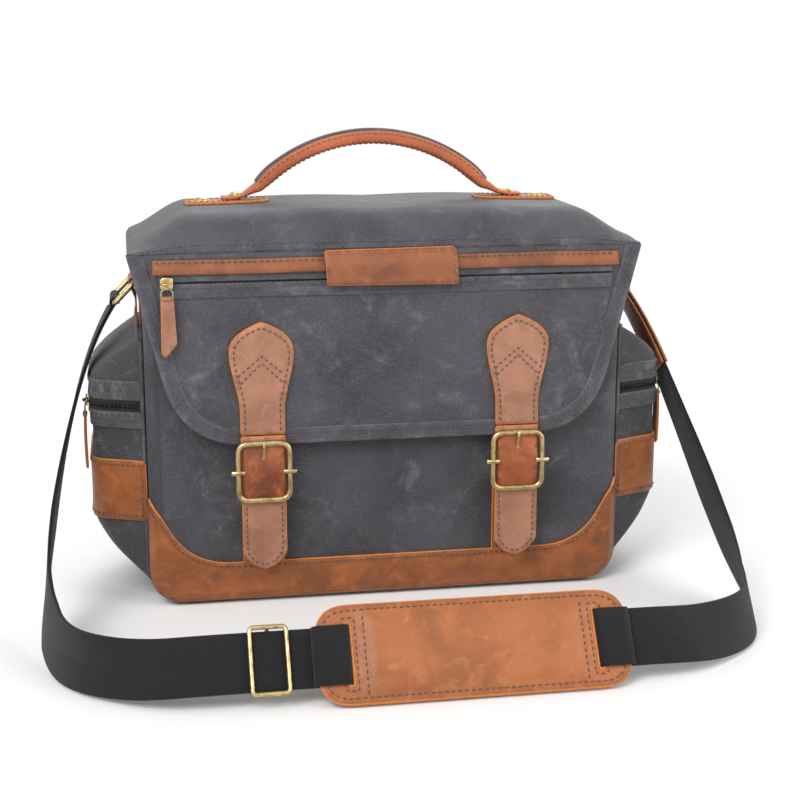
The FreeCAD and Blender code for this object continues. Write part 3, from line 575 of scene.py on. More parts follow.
def dome(radius, height, foot=0.0):
    # the profile of a domed stud head
    profile = [(radius * 0.92, foot), (radius, foot + height * 0.2)]
    for step in range(1, 7):
        angle = math.pi / 2 * step / 6
        profile.append((max(radius * math.cos(angle), 0.00002),
                        foot + height * (0.2 + 0.8 * math.sin(angle))))
    return profile


stitch = dict(length=0.0024, gap=0.0019, radius=0.00048, lift=0.00012)


def stitches(pile, line, skin, level, mark=0, closed=False, length=None, sink=0.6):
    # a row of thread along a flat line, each stitch dipping into the cloth at its ends
    length = length or stitch["length"]
    pitch = length + stitch["gap"]
    points = evenly(line, pitch / 7, closed)
    if closed:
        points.append(points[0])
    for start in range(0, len(points) - 4, 7):
        run = points[start:start + 5]
        bow = [-sink, 0.5, 0.65, 0.5, -sink]
        path = [Vector(skin(spot.x, spot.y, level + stitch["lift"] + stitch["radius"] * lift))
                for spot, lift in zip(run, bow)]
        sizes = [stitch["radius"] * share for share in (0.7, 1.0, 1.0, 1.0, 0.7)]
        tube(pile, path, sizes, sides=6, mark=mark)


def stitchPiece(name, rows, skin, level, look, body, length=None):
    # several rows in one piece; a row is (points, closed)
    pile = Pile()
    for line, closed in rows:
        stitches(pile, line, skin, level, closed=closed, length=length)
    return onBody(pile.make(name, [look]), body)


def onBody(piece, body, *nodes):
    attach(piece, body)
    if nodes:
        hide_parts(*nodes)
    return piece


def block(pile, low, high, mark=0, rim=0.0, tip=None):
    # a plain box between two corners, turned by tip when that is given
    points = [Vector((x, y, z)) for x in (low[0], high[0]) for y in (low[1], high[1])
              for z in (low[2], high[2])]
    faces = [(0, 1, 3, 2), (4, 6, 7, 5), (0, 4, 5, 1), (2, 3, 7, 6), (0, 2, 6, 4), (1, 5, 7, 3)]
    pile.add([tip(p) for p in points] if tip else points, faces, [tuple(p) for p in points], rim, mark)


def subdivided(piece, levels=1):
    shaper = piece.modifiers.new("smooth", "SUBSURF")
    shaper.levels = shaper.render_levels = levels
    return piece


# the case: a canvas shell with rounded upright edges, its hem and lining
frontLow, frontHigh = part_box("front_panel")
case = dict(halfWidth=frontHigh.x, halfDepth=-frontLow.y, height=frontHigh.z, corner=0.009, footCorner=0.025,
            footRound=0.006, bulge=0.0014, slack=0.0005, wrap=1.2, wall=0.0038)


def swell(share):
    return max(0.0, 1 - share * share)


def halfWidthAt(z, inset=0.0):
    radius = case["footCorner"] - inset
    drop = max(radius - (z - inset), 0.0)
    return case["halfWidth"] - inset - radius + math.sqrt(max(radius * radius - drop * drop, 0.0))


def slack(x, z):
    # the cloth of the large faces stands out in slow waves, and lies flat at the trim and the mouth
    calm = ease(0.035, 0.085, z) * (1 - ease(0.205, 0.235, z)) * swell(x / case["halfWidth"])
    return case["slack"] * calm * (1 + math.cos(x * 47) * math.sin(z * 36 + 0.6))


def caseSkin(side):
    # the front (-1) or back (1) of the case, wrapping a little round its upright edges
    def skin(x, z, d=0.0):
        width = halfWidthAt(max(z, 0.0))
        corner = case["corner"]
        over = max(abs(x) - (width - corner), 0.0) / corner
        turn = min(over, 1.0) * case["wrap"]
        share = min(max(z / case["height"], 0.0), 1.0)
        bulge = case["bulge"] * swell(x / width) * math.sin(math.pi * share) + slack(x, z)
        tuck = max(case["footRound"] - z, 0.0)
        foot = case["footRound"] - math.sqrt(max(case["footRound"] ** 2 - tuck ** 2, 0.0))
        reach = case["halfDepth"] - corner + (corner + d) * math.cos(turn) + bulge - foot
        across = min(abs(x), width - corner) + (corner + d) * math.sin(turn)
        return (math.copysign(across, x), side * reach, z)
    return skin


caseFront = caseSkin(-1)
caseBack = caseSkin(1)


def ringAt(z, inset=0.0, dip=0.0):
    # one level of the case wall, anticlockwise from the front left
    width = halfWidthAt(z, max(inset, 0.0)) - min(inset, 0.0)
    depth = case["halfDepth"] - inset
    corner = max(case["corner"] - inset, 0.002)
    foot = case["footRound"]
    tuck = max(foot - z, 0.0) if inset < 0.001 else 0.0
    depth -= foot - math.sqrt(max(foot * foot - tuck * tuck, 0.0))
    share = min(max(z / case["height"], 0.0), 1.0)
    made = []
    for step in range(37):
        x = -(width - corner) + 2 * (width - corner) * step / 36
        bulge = case["bulge"] * swell(x / width) * math.sin(math.pi * share) + slack(x, z)
        made.append((x, -depth - bulge))
    for step in range(1, 6):
        angle = math.pi / 2 * step / 6
        made.append((width - corner + corner * math.sin(angle), -depth + corner - corner * math.cos(angle)))
    for step in range(15):
        y = -(depth - corner) + 2 * (depth - corner) * step / 14
        made.append((width - dip * swell(y / depth), y))
    for step in range(1, 6):
        angle = math.pi / 2 * step / 6
        made.append((width - corner + corner * math.cos(angle), depth - corner + corner * math.sin(angle)))
    half = [Vector((x, y, z)) for x, y in made]
    return half + [Vector((-p.x, -p.y, z)) for p in half]


def wallCloth(rings):
    # cloth coordinates for a stack of rings: distance around, distance up
    cloth = []
    rise = 0.0
    for index, ring in enumerate(rings):
        rise += (ring[10] - rings[index - 1][10]).length if index else 0.0
        around = 0.0
        for step, spot in enumerate(ring):
            around += (spot - ring[step - 1]).length if step else 0.0
            cloth.append((around, rise, 0.02 * math.sin(around * 9)))
    return cloth


def makeCase():
    levels = [0.0, 0.0006, 0.0018, 0.0035, 0.006, 0.010, 0.015, 0.020, 0.025]
    levels += [0.025 + 0.011 * step for step in range(1, 21)] + [0.254]
    rings = [ringAt(z, 0.0, 0.0012 * math.sin(math.pi * z / case["height"])) for z in levels]
    wall = case["wall"]
    rings += [ringAt(0.2555, 0.001), ringAt(0.2555, wall - 0.001)]
    rings += [ringAt(z, wall) for z in (0.254, 0.20, 0.14, 0.08, 0.03, wall)]
    pile = Pile()
    loft(pile, rings, wallCloth(rings))
    shell = subdivided(pile.make("case_canvas", ["canvas"]))
    onBody(shell, "case", "front_panel", "back_panel", "left_gusset", "right_gusset", "base_panel")
    lining = [ringAt(z, 0.0042) for z in (0.0075, 0.03, 0.08, 0.14, 0.20, 0.2553)]
    lining += [ringAt(z, 0.0054) for z in (0.2553, 0.20, 0.14, 0.08, 0.03, 0.0088)]
    pile = Pile()
    loft(pile, lining, wallCloth(lining))
    onBody(pile.make("case_lining", ["lining"]), "case", "lining")


def makeHem():
    # canvas binding folded over the mouth, with a row of stitches near its foot on each side
    low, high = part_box("mouth_hem")
    out = case["halfWidth"] - high.x
    inner = 0.0055
    top = high.z
    section = [(out * 0.2, low.z), (out, low.z + 0.001), (out, top - 0.0022), (out * 0.3, top - 0.0006),
               (0.0015, top), (0.0035, top), (inner - 0.0006, top - 0.0008), (inner, top - 0.0026),
               (inner, low.z + 0.004), (inner - 0.001, low.z + 0.003)]
    rings = [ringAt(z, inset) for inset, z in section]
    pile = Pile()
    loft(pile, rings, wallCloth(rings), along=True)
    onBody(pile.make("mouth_binding", ["canvas"]), "case", "mouth_hem")
    row = Pile()
    for inset in (out, inner):
        shift = -0.0001 if inset == out else 0.0001
        line = ringAt(low.z + 0.0045, inset + shift)
        smooth = evenly([spot.to_2d() for spot in line], 0.0041)
        for index, spot in enumerate(smooth):
            ahead = smooth[(index + 1) % len(smooth)]
            ends = [spot.lerp(ahead, share) for share in (0.0, 0.35, 0.72)]
            path = [Vector((p.x, p.y, low.z + 0.0045)) for p in ends]
            tube(row, path, [0.0003, stitch["radius"], 0.0003], sides=5)
    onBody(row.make("mouth_stitches", ["threadGrey"]), "case")


makeCase()
makeHem()
print("case shell and hem")


# the flap: a top sheet from the back over the case, and a front sheet below the crease
topLow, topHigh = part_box("flap_top_panel")
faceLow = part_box("flap_front_panel")[0]
flap = dict(halfWidth=topHigh.x, crest=topHigh.z, face=-faceLow.y, foot=faceLow.z, crease=0.2605, thick=0.003,
            taper=0.034, corner=0.062, hem=0.011, hemThick=0.001, fall=0.90, wave=0.0015, back=0.0745,
            skirtFoot=topLow.z, skirtRound=0.007)


class Track:
    # a line in the plane of y and z, with its outward side on the left of travel
    def __init__(self, corners, radii):
        self.points = evenly(roundCorners(corners, radii), 0.0015, closed=False)
        self.step = (self.points[1] - self.points[0]).length
        self.length = self.step * (len(self.points) - 1)

    def at(self, distance):
        place = min(max(distance / self.step, 0.0), len(self.points) - 1.001)
        index = int(place)
        spot = self.points[index].lerp(self.points[index + 1], place - index)
        heading = (self.points[index + 1] - self.points[index]).normalized()
        return spot, Vector((heading.y, -heading.x))


flapTrack = Track([(flap["back"], 0.2465), (flap["back"], 0.2610), (0.058, flap["crest"]),
                   (-0.064, flap["crest"]),
                   (-flap["face"], 0.2675), (-flap["face"], flap["crease"])],
                  [0.0, 0.007, 0.030, 0.030, 0.010, 0.0])


def droop(x, z):
    # the ends of the top sink towards the case
    sag = flap["fall"] * ease(0.136, flap["halfWidth"] + 0.005, abs(x))
    lift = 0.0012 * math.sin(x * 31) * math.sin(x * 12 + 1)
    raised = max(z - flap["crease"], 0.0)
    return min(z, flap["crease"]) + raised * (1 - sag) + lift * min(raised / 0.02, 1.0)


def flapTop(u, s, d=0.0):
    # u runs across the bag and on down the end skirts, s from the back edge to the crease
    spot, normal = flapTrack.at(s)
    edge = flap["halfWidth"] - flap["skirtRound"]
    corner = flap["skirtRound"] * math.pi / 2
    across = min(abs(u), edge)
    over = max(abs(u) - edge, 0.0)
    turn = min(over / corner, 1.0) * math.pi / 2
    radius = flap["skirtRound"]
    y = spot.x + normal.x * d
    z = droop(across, spot.y) + normal.y * d * math.cos(turn)
    if over > 0:
        across = edge + (radius + min(d, 0.0)) * math.sin(turn)
        top = z - radius
        short = ease(0.0, 0.040, flapTrack.length - s) * ease(-0.004, 0.030, s)
        z -= radius * (1 - math.cos(turn)) * short
        share = max(over - corner, 0.0) / 0.02
        z += (flap["skirtFoot"] - top) * share * short
        across -= 0.0012 * share
        y -= 0.001 * share * math.sin(s * 55)
    return (math.copysign(across, u), y, z)


def flapWave(x, z):
    still = ease(0.016, 0.045, abs(abs(x) - 0.093)) if z < 0.225 else ease(0.0, 0.012, 0.237 - z)
    fold = math.sin(x * 38 + z * 21 + 0.6) * math.sin(x * 17 - 0.5) * ease(0.0, 0.05, z - 0.11)
    return flap["wave"] * fold * still


def flapFront(x, z, d=0.0):
    # the front sheet: flat below the crease, and above it tucked in under the top sheet
    if z <= flap["crease"]:
        return (x, -(flap["face"] + d + flapWave(x, z)), z)
    spot, normal = flapTrack.at(flapTrack.length - (z - flap["crease"]))
    tuck = d - 0.0034 * ease(flap["crease"] + 0.001, flap["crease"] + 0.004, z)
    return (x, spot.x + normal.x * tuck, droop(x, spot.y) + normal.y * tuck)


def flapCorners(inset=0.0, top=None):
    top = top or flap["crease"]
    upper = flap["halfWidth"] - inset
    lower = upper - flap["taper"]
    foot = flap["foot"] + inset
    return [(-lower, foot), (lower, foot), (upper, top), (-upper, top)]


def flatArea(corners, radii):
    # the area of a rounded outline before the cloth is laid
    line = roundCorners(corners, radii)
    return abs(sum(a[0] * b[1] - b[0] * a[1] for a, b in zip(line, line[1:] + line[:1]))) / 2


def flapRadii(inset=0.0):
    return [flap["corner"] - inset, flap["corner"] - inset, 0.0, 0.0]


def insideFace(skin, thick):
    # plates are laid with their inner side at nought, so the sheet's outer side comes out on its face
    return lambda x, z, d: skin(x, z, d - thick)


def above(skin, level):
    return lambda x, z, d: skin(x, z, d + level)


def makeFlapTop():
    edge = flap["halfWidth"] - flap["skirtRound"]
    reach = edge + flap["skirtRound"] * math.pi / 2 + 0.02
    columns = [-reach + reach * 2 * step / 96 for step in range(97)]
    rows = [flapTrack.length * step / 84 for step in range(85)]
    thick = 0.0032
    pile = Pile()
    for level in (0.0, -thick):
        points = [flapTop(u, s, level) for s in rows for u in columns]
        cloth = [(u + 0.4, s + 0.9, 0.1) for s in rows for u in columns]
        faces = []
        for row in range(84):
            for column in range(96):
                start = row * 97 + column
                face = (start, start + 1, start + 98, start + 97)
                faces.append(face if level == 0 else tuple(reversed(face)))
        rim = [max(math.exp(-(flapTrack.length - s) / 0.004), math.exp(-(reach - abs(u)) / 0.004) * 0.6)
               for s in rows for u in columns]
        pile.add(points, faces, cloth, rim, 0 if level == 0 else 1)
    border = [(u, rows[0]) for u in columns] + [(columns[-1], s) for s in rows[1:]]
    border += [(u, rows[-1]) for u in reversed(columns[:-1])] + [(columns[0],
                                                                  s) for s in reversed(rows[1:-1])]
    points = [flapTop(u, s, 0.0) for u, s in border] + [flapTop(u, s, -thick) for u, s in border]
    count = len(border)
    faces = [(index, index + count, (index + 1) % count + count,
              (index + 1) % count) for index in range(count)]
    pile.add(points, faces, [(u + 0.4, s + 0.9, 0.1) for u, s in border] * 2, 1.0)
    piece = weld(pile.make("flap_top_cloth", ["canvas", "lining"]))
    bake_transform(piece)
    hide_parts("flap_top_panel")
    lines = []
    for s in (flapTrack.length - 0.0022, flapTrack.length - 0.0064):
        lines.append(([Vector((u, s)) for u in (-edge + 0.002, edge - 0.002)], False))
    stitchPiece("crease_stitches", lines, flapTop, 0.0, "threadGrey", "flap_top")


def makeFlapFront():
    thick = flap["thick"]
    sheetTop = 0.2790
    skin = insideFace(flapFront, thick)
    width = flap["halfWidth"]
    outline = flapCorners(0.0, flap["crease"])
    corners = outline[:3] + [(width - 0.001, sheetTop), (-width + 0.001, sheetTop)] + outline[3:]
    radii = flapRadii()[:2] + [0.0] * 4
    piece = plate("flap_front_cloth", corners, skin, thick, ["canvas"], radii, bevel=0.0008, seed=1.3,
                  spacing=0.0045)
    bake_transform(piece)
    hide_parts("flap_front_panel")
    flatArea(corners, radii)


def flapEdge(inset, spacing=0.004):
    # the flap's edge, drawn in by a distance, from its top right round the foot to its top left
    corners = flapCorners(inset)
    order = [corners[2], corners[1], corners[0], corners[3]]
    radius = flap["corner"] - inset
    line = roundCorners(order, [0.0, radius, radius, 0.0], 14)
    return evenly(line, spacing, closed=False)


def makeFlapHem():
    # a folded canvas binding round the flap's edge, thick at the edge, with two rows of stitches
    width = flap["hem"]
    lift = flap["hemThick"]
    section = [(-0.0002, -0.0030), (-0.0007, -0.0012), (-0.0005, lift * 0.55), (0.0012, lift * 1.05),
               (0.0034, lift * 0.75), (0.0056, lift), (0.0078, lift * 0.72), (width - 0.0009, lift * 0.9),
               (width, lift * 0.5), (width + 0.0001, 0.0001)]
    lines = [flapEdge(0.0)]
    headings = travel(lines[0])
    rings, cloth = [], []
    for index, (spot, heading) in enumerate(zip(lines[0], headings)):
        inward = Vector((heading.y, -heading.x))
        pucker = 0.00014 * math.sin(index * 1.9) + 0.0001 * math.sin(index * 0.7)
        ring = []
        for inset, level in section:
            place = spot + inward * inset
            ring.append(Vector(flapFront(place.x, place.y, level + (pucker if level > 0.0003 else 0.0))))
            cloth.append((index * 0.004, inset, 0.5))
        rings.append(ring)
    pile = Pile()
    rim = [share for ring in rings for share in (1, 1, 1, 0.8, 0.3, 0.2, 0.3, 0.5, 1, 0.4)]
    loft(pile, rings, cloth, around=True, caps=True, rim=rim)
    piece = pile.make("flap_binding", ["canvas"])
    onBody(piece, "flap_front", "flap_hem")
    rows = [(flapEdge(inset), False) for inset in (0.0034, width - 0.0032)]
    stitchPiece("flap_binding_stitches", rows, flapFront, lift * 0.75, "threadGrey", "flap_front")


makeFlapTop()
makeFlapFront()
makeFlapHem()
print("flap cloth and binding")


# zips: tape, teeth, slider and a leather pull, laid on whatever skin carries them
zipLook = dict(pitch=0.0017, tooth=0.0032, toothRise=0.0007, slider=0.0090, wire=0.0008, tabWidth=0.0105,
               tabThick=0.0019)


def straight(first, last):
    return [Vector(first), Vector(last)]


def zipTape(name, node, skin, first, last, body, level=0.0, thick=0.0009, half=0.007):
    # first and last are the ends of the zip's centre line in the skin's own coordinates
    along = (Vector(last) - Vector(first)).normalized()
    side = Vector((-along.y, along.x)) * half
    corners = [Vector(first) - side, Vector(last) - side, Vector(last) + side, Vector(first) + side]
    tape = plate(name, corners, above(skin, level), thick, ["tape"], 0.0, bevel=0.0002, spacing=0.0035,
                 seed=2.2)
    onBody(tape, body, node)
    pile = Pile()
    line = evenly(straight(first, last), zipLook["pitch"], closed=False)
    half = zipLook["tooth"] / 2
    rise = thick + zipLook["toothRise"]
    for index, spot in enumerate(line[1:-1]):
        lean = along * (0.0003 if index % 2 else -0.0003)
        ends = [spot - side.normalized() * half, spot, spot + side.normalized() * half]
        path = [Vector(skin(p.x + lean.x, p.y + lean.y, level + lift))
                for p, lift in zip(ends, (thick, rise, thick))]
        tube(pile, path, 0.00048, sides=5)
    onBody(pile.make(name + "_teeth", ["teeth"]), body)


def zipHardware(prefix, out, along):
    # slider and pull, each where its own node stands; out points away from the tape
    low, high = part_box(prefix + "_slider")
    out, along = Vector(out), Vector(along)
    centre = (low + high) / 2
    foot = centre - out * (out.dot(centre) - min(out.dot(low), out.dot(high)))
    down = Vector((0, 0, -1))

    def place(u, v, w):
        return tuple(foot + along * u + down * v + out * w)

    half = zipLook["slider"] / 2
    outline = [(-half, -half * 0.72), (-half * 0.35, -half), (half, -half * 0.9), (half, half * 0.9),
               (-half * 0.35, half), (-half, half * 0.72)]
    pile = Pile()
    plate("", outline, place, 0.0010, ["brass"], 0.0012, bevel=0.0003, spacing=0.002, pile=pile, make=False)
    plate("", outline, above(place, 0.0017), 0.0010, ["brass"], 0.0012, bevel=0.0003, spacing=0.002,
          pile=pile,
          make=False)
    block(pile, (-half * 0.5, -half * 0.4, 0.0009), (half * 0.2, half * 0.4, 0.0018),
          tip=lambda p: Vector(place(p.x, p.y, p.z)))
    bail = [place(-half * 0.80, 0, 0.0026), place(-half * 0.66, 0, 0.0044), place(-half * 0.1, 0, 0.0050),
            place(half * 0.53, 0, 0.0046), place(half * 0.70, 0, 0.0026)]
    tube(pile, evenly([Vector(p) for p in bail], 0.0008, closed=False), zipLook["wire"] * 0.8, sides=8)
    onBody(weld(pile.make(prefix + "_slider_body", ["brass"])), prefix + "_slider", prefix + "_slider")

    pullLow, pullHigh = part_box(prefix + "_pull")
    level = min(abs(out.dot(pullLow - foot)), abs(out.dot(pullHigh - foot)))
    end = centre.z - pullLow.z
    width = zipLook["tabWidth"] / 2
    pile = Pile()
    # the ring's narrow neck passes under the slider's bail, so it can swing there
    right = [(0.0005, -0.0013), (0.0006, 0.0028), (0.0040, 0.0052), (0.0040, 0.0105)]
    ring = roundCorners([(-u, v) for u, v in reversed(right)] + right, [0.0010, 0.0008, 0.0006, 0.0004] * 2,
                        4)
    path = []
    for u, v in ring:
        rise = ease(0.0022, 0.0052, v)
        path.append(Vector(place(u, v, 0.0033 + (level + 0.0007 - 0.0033) * rise)))
    tube(pile, evenly3(path, 0.0006), zipLook["wire"] * 0.62, closed=True, sides=8)
    onBody(pile.make(prefix + "_pull_ring", ["brass"]), prefix + "_pull")
    bend = 0.0005

    def tabSkin(u, v, w):
        share = (v - 0.009) / (end - 0.009)
        return place(u + 0.0006 * share, v, level + w - 0.0004 + bend * math.sin(share * 3.1))

    corners = [(-width * 0.86, 0.0086), (width * 0.86, 0.0086), (width * 1.06, end - 0.0100),
               (-width * 0.5, end),
               (-width * 1.06, end - 0.0035)]
    tab = plate(prefix + "_pull_tab", corners, tabSkin, zipLook["tabThick"], ["strap", "edge"],
                [0.0016, 0.0016, 0.0008, 0.0010, 0.0010], bevel=0.0004, spacing=0.0025, edge=0.0016,
                seed=3.0 + level, crown=0.0002, fade=0.0012)
    onBody(tab, prefix + "_pull", prefix + "_pull")
    fold = Pile()
    loop = [place(0, 0.0116, level + 0.0022), place(0, 0.0098, level + 0.0024),
            place(0, 0.0086, level + 0.0010),
            place(0, 0.0098, level - 0.0008), place(0, 0.0116, level - 0.0008)]
    rings = []
    for u in (-width * 0.84, -width * 0.8, width * 0.8, width * 0.84):
        shrink = 0.7 if abs(u) > width * 0.82 else 1.0
        middle = Vector(place(u, 0.0104, level + 0.0007))
        rings.append([middle + (Vector(p) + along * u - middle) * shrink for p in loop])
    loft(fold, rings)
    onBody(fold.make(prefix + "_pull_fold", ["strap"]), prefix + "_pull")


# side pockets: bellows pockets with a sloping top, a zip across the face and a leather band
pocketLow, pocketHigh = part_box("right_pocket")
pocket = dict(root=pocketHigh.y, face=0.046, out=pocketHigh.x - case["halfWidth"], foot=pocketLow.z,
              top=pocketHigh.z,
              swellFrom=0.062, swellTo=0.170, round=0.016, zip=0.149, lip=0.0015, slack=0.0016)
sections = {}


def pocketSection(out):
    # the pocket's plan at one level, as evenly spaced points of distance along the bag's side and
    # distance out
    key = round(out, 5)
    if key not in sections:
        share = max(out / pocket["out"], 0.02)
        face = pocket["face"] + (pocket["root"] - pocket["face"]) * (1 - share) * 0.85
        corners = [(-pocket["root"], 0.0), (-face, out), (face, out), (pocket["root"], 0.0)]
        line = roundCorners(corners, [0.0, pocket["round"] * share, pocket["round"] * share, 0.0], 8)
        fine = evenly(line, 0.0005, closed=False)
        sections[key] = (fine, (fine[1] - fine[0]).length * (len(fine) - 1))
    return sections[key]


def pocketOut(z):
    rise = (z - pocket["foot"]) / (pocket["swellFrom"] - pocket["foot"])
    fall = (pocket["top"] - z) / (pocket["top"] - pocket["swellTo"])
    share = min(max(min(rise, fall), 0.0), 1.0)
    return pocket["out"] * (0.45 * share + 0.55 * math.sin(share * math.pi / 2))


pocketGirth = pocketSection(pocket["out"])[1]


def pocketSkin(side):
    def skin(u, z, d=0.0):
        out = pocketOut(z)
        line = pocketSection(out)[0]
        place = min(max((u / pocketGirth + 0.5) * (len(line) - 1), 0.0), len(line) - 1.001)
        index = int(place)
        spot = line[index].lerp(line[index + 1], place - index)
        heading = (line[index + 1] - line[index]).normalized()
        soft = pocket["slack"] * (noise.noise(Vector((u * 26, z * 24, side * 3.0))) - 0.35)
        calm = ease(0.0, 0.02, abs(z - pocket["zip"]) - 0.006) * ease(0.0, 0.02, abs(z - 0.0865) - 0.022)
        reach = d + soft * calm * min(out / pocket["out"], 1.0)
        return (side * (case["halfWidth"] + 0.0003 + spot.y + heading.x * reach), spot.x - heading.y * reach,
                z)
    return skin


def makePocket(name, side):
    skin = pocketSkin(side)
    half = pocketGirth / 2
    steps = 72
    levels = [pocket["foot"] + (pocket["top"] - pocket["foot"]) * step / 60 for step in range(61)]
    across = [-half + pocketGirth * step / steps for step in range(steps + 1)]
    rings = [[Vector(skin(u, z)) for u in across] for z in levels]
    pile = Pile()
    loft(pile, rings, [(u + 0.7, z, 0.3) for z in levels for u in across])
    # the pocket canvas takes the canvas darkened as painted shade
    onBody(weld(pile.make(name + "_canvas", ["canvasPaintedShade"])), "case", name)
    edge = half - 0.002
    lips = Pile()
    for low, high, fold in ((pocket["zip"] + 0.0042, pocket["zip"] + 0.0185, 1),
                            (pocket["zip"] - 0.0165, pocket["zip"] - 0.0042, -1)):
        corners = [(-edge, low), (edge, low), (edge, high), (-edge, high)]
        plate("", corners, skin, pocket["lip"], ["canvas"], 0.0, bevel=0.0006, spacing=0.0045,
              seed=4.1 + fold,
              pile=lips, make=False)
    # the zip lips also take the canvas darkened as painted shade
    onBody(weld(lips.make(name + "_zip_lips", ["canvasPaintedShade"])), "case")
    rows = []
    for height in (pocket["zip"] + 0.0062, pocket["zip"] + 0.0165, pocket["zip"] - 0.0062):
        rows.append((straight((-edge, height), (edge, height)), False))
    stitchPiece(name + "_lip_stitches", rows, skin, pocket["lip"], "threadGrey", "case")
    zipTape(name + "_zip_tape_cloth", name + "_zip_tape", skin, (-half + 0.004, pocket["zip"]),
            (half - 0.004, pocket["zip"]), "case", half=0.0052)
    zipHardware(name + "_zip", (side, 0, 0), (0, 1, 0))
    bandLow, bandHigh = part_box(name + "_band")
    corners = [(-half, bandLow.z), (half, bandLow.z), (half, bandHigh.z), (-half, bandHigh.z)]
    band = plate(name + "_band_leather", corners, skin, 0.0019, ["oiled", "edge"], 0.002, bevel=0.0005,
                 seed=5.0 + side)
    onBody(band, "case", name + "_band")
    inset = 0.0034
    border = [Vector((-half + inset, bandLow.z + inset)), Vector((half - inset, bandLow.z + inset)),
              Vector((half - inset, bandHigh.z - inset)), Vector((-half + inset, bandHigh.z - inset))]
    stitchPiece(name + "_band_stitches", [(border, True)], skin, 0.0019, "thread", "case")
    seam = Pile()
    line = [Vector(skin(u, z, 0.0004)) for u, z in [(-half * 0.985, z) for z in levels[1:-1]]]
    line += [Vector(skin(-half * 0.985 + half * 1.97 * step / 40, pocket["top"] - 0.0015, 0.0006))
             for step in range(1, 40)]
    line += [Vector(skin(half * 0.985, z, 0.0004)) for z in reversed(levels[1:-1])]
    tube(seam, line, 0.0014, sides=8, rim=0.6)
    # the piping also takes the canvas darkened as painted shade
    onBody(seam.make(name + "_piping", ["canvasPaintedShade"]), "case")


makePocket("left_pocket", -1)
makePocket("right_pocket", 1)
print("pockets")


# leather on the case: bottom trims, front strips, snap studs, and the front pocket's zip
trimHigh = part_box("front_leather_trim")[1]
trim = dict(thick=0.0021, low=0.0035, level=0.032, top=trimHigh.z, vertex=0.146, curve=0.052, corner=0.0235)
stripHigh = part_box("front_strips")[1]
strip = dict(thick=0.0020, half=0.015, at=stripHigh.x - 0.015, low=0.0255, high=stripHigh.z - 0.001)


def trimCorners():
    # the trim wraps a little way round the upright edges
    wide = case["halfWidth"] - 0.0002
    return ([(-wide, trim["low"]), (wide, trim["low"]), (wide, trim["top"]), (trim["vertex"], trim["level"]),
             (-trim["vertex"], trim["level"]), (-wide, trim["top"])],
            [trim["corner"], trim["corner"], 0.001, trim["curve"], trim["curve"], 0.001])


def makeTrim(name, node, skin, seed):
    corners, radii = trimCorners()
    piece = plate(name, corners, skin, trim["thick"], ["oiled", "edge"], radii, bevel=0.0006, spacing=0.0055,
                  edge=0.004, seed=seed, crown=0.0003, steps=12)
    onBody(piece, "case", node)
    top = evenly(roundCorners(corners[2:], [0.0] + radii[3:5] + [0.0], 14), 0.004, closed=False)
    line = insetLine(top, 0.0030, closed=False)
    stitchPiece(name + "_stitches", [(line, False)], skin, trim["thick"] + 0.0003, "thread", "case")


def makeStrips():
    pile = Pile()
    rows = []
    for side in (-1, 1):
        middle = strip["at"] * side
        half = strip["half"]
        corners = [(middle - half, strip["low"]), (middle + half, strip["low"]),
                   (middle + half, strip["high"]),
                   (middle - half, strip["high"])]
        plate("", corners, caseFront, strip["thick"], ["oiled", "edge"], 0.0012, bevel=0.0005, spacing=0.005,
              edge=0.004, seed=6.0 + side, pile=pile, make=False)
        for edge in (-half + 0.003, half - 0.003):
            line = straight((middle + edge, strip["low"] + 0.008), (middle + edge, strip["high"] - 0.002))
            rows.append((line, False))
    onBody(weld(pile.make("front_strips_leather", ["oiled", "edge"])), "case", "front_strips")
    stitchPiece("front_strip_stitches", rows, caseFront, strip["thick"], "thread", "case")
    studs = Pile()
    for side in (-1, 1):
        x, y, z = caseFront(strip["at"] * side, 0.055, strip["thick"])
        turned(studs, (x, y, z), (0, -1, 0), [(0.0084, 0), (0.0085, 0.0006), (0.0078, 0.0013),
                                              (0.0058, 0.0014),
                                               (0.0052, 0.0021), (0.0044, 0.0024), (0.0036, 0.0014),
                                              (0.0001, 0.0012)])
    onBody(studs.make("snap_stud_pair", ["brass"]), "case", "snap_studs")


def makeFrontPocket():
    # a zipped pocket lies between the strips: a welted canvas lip above and below its tape
    low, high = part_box("front_zip_tape")
    middle = (low.z + high.z) / 2
    zipTape("front_zip_cloth", "front_zip_tape", caseFront, (low.x + 0.001, middle), (high.x - 0.001, middle),
            "case",
            level=0.0003, half=0.0058)
    pile = Pile()
    rows = []
    edge = strip["at"] - strip["half"] + 0.001
    for lower, upper, seed in ((middle + 0.0050, middle + 0.0120, 7.1),
                               (middle - 0.0120, middle - 0.0050, 7.6)):
        plate("", [(-edge, lower), (edge, lower), (edge, upper), (-edge, upper)], caseFront, 0.0013,
              ["canvas"], 0.0,
              bevel=0.0005, spacing=0.005, seed=seed, pile=pile, make=False)
        rows.append((straight((-edge, (lower + upper) / 2), (edge, (lower + upper) / 2)), False))
    onBody(weld(pile.make("front_pocket_lips", ["canvas"])), "case")
    stitchPiece("front_pocket_stitches", rows, caseFront, 0.0013, "threadGrey", "case")
    zipHardware("front_zip", (0, -1, 0), (1, 0, 0))


def bar(pile, low, high, radius, mark=0):
    # a round bar between two points with softened ends
    low, high = Vector(low), Vector(high)
    way = (high - low).normalized()
    line = [low, low + way * radius * 0.3, high - way * radius * 0.3, high]
    tube(pile, line, [radius * 0.75, radius, radius, radius * 0.75], sides=14, mark=mark)


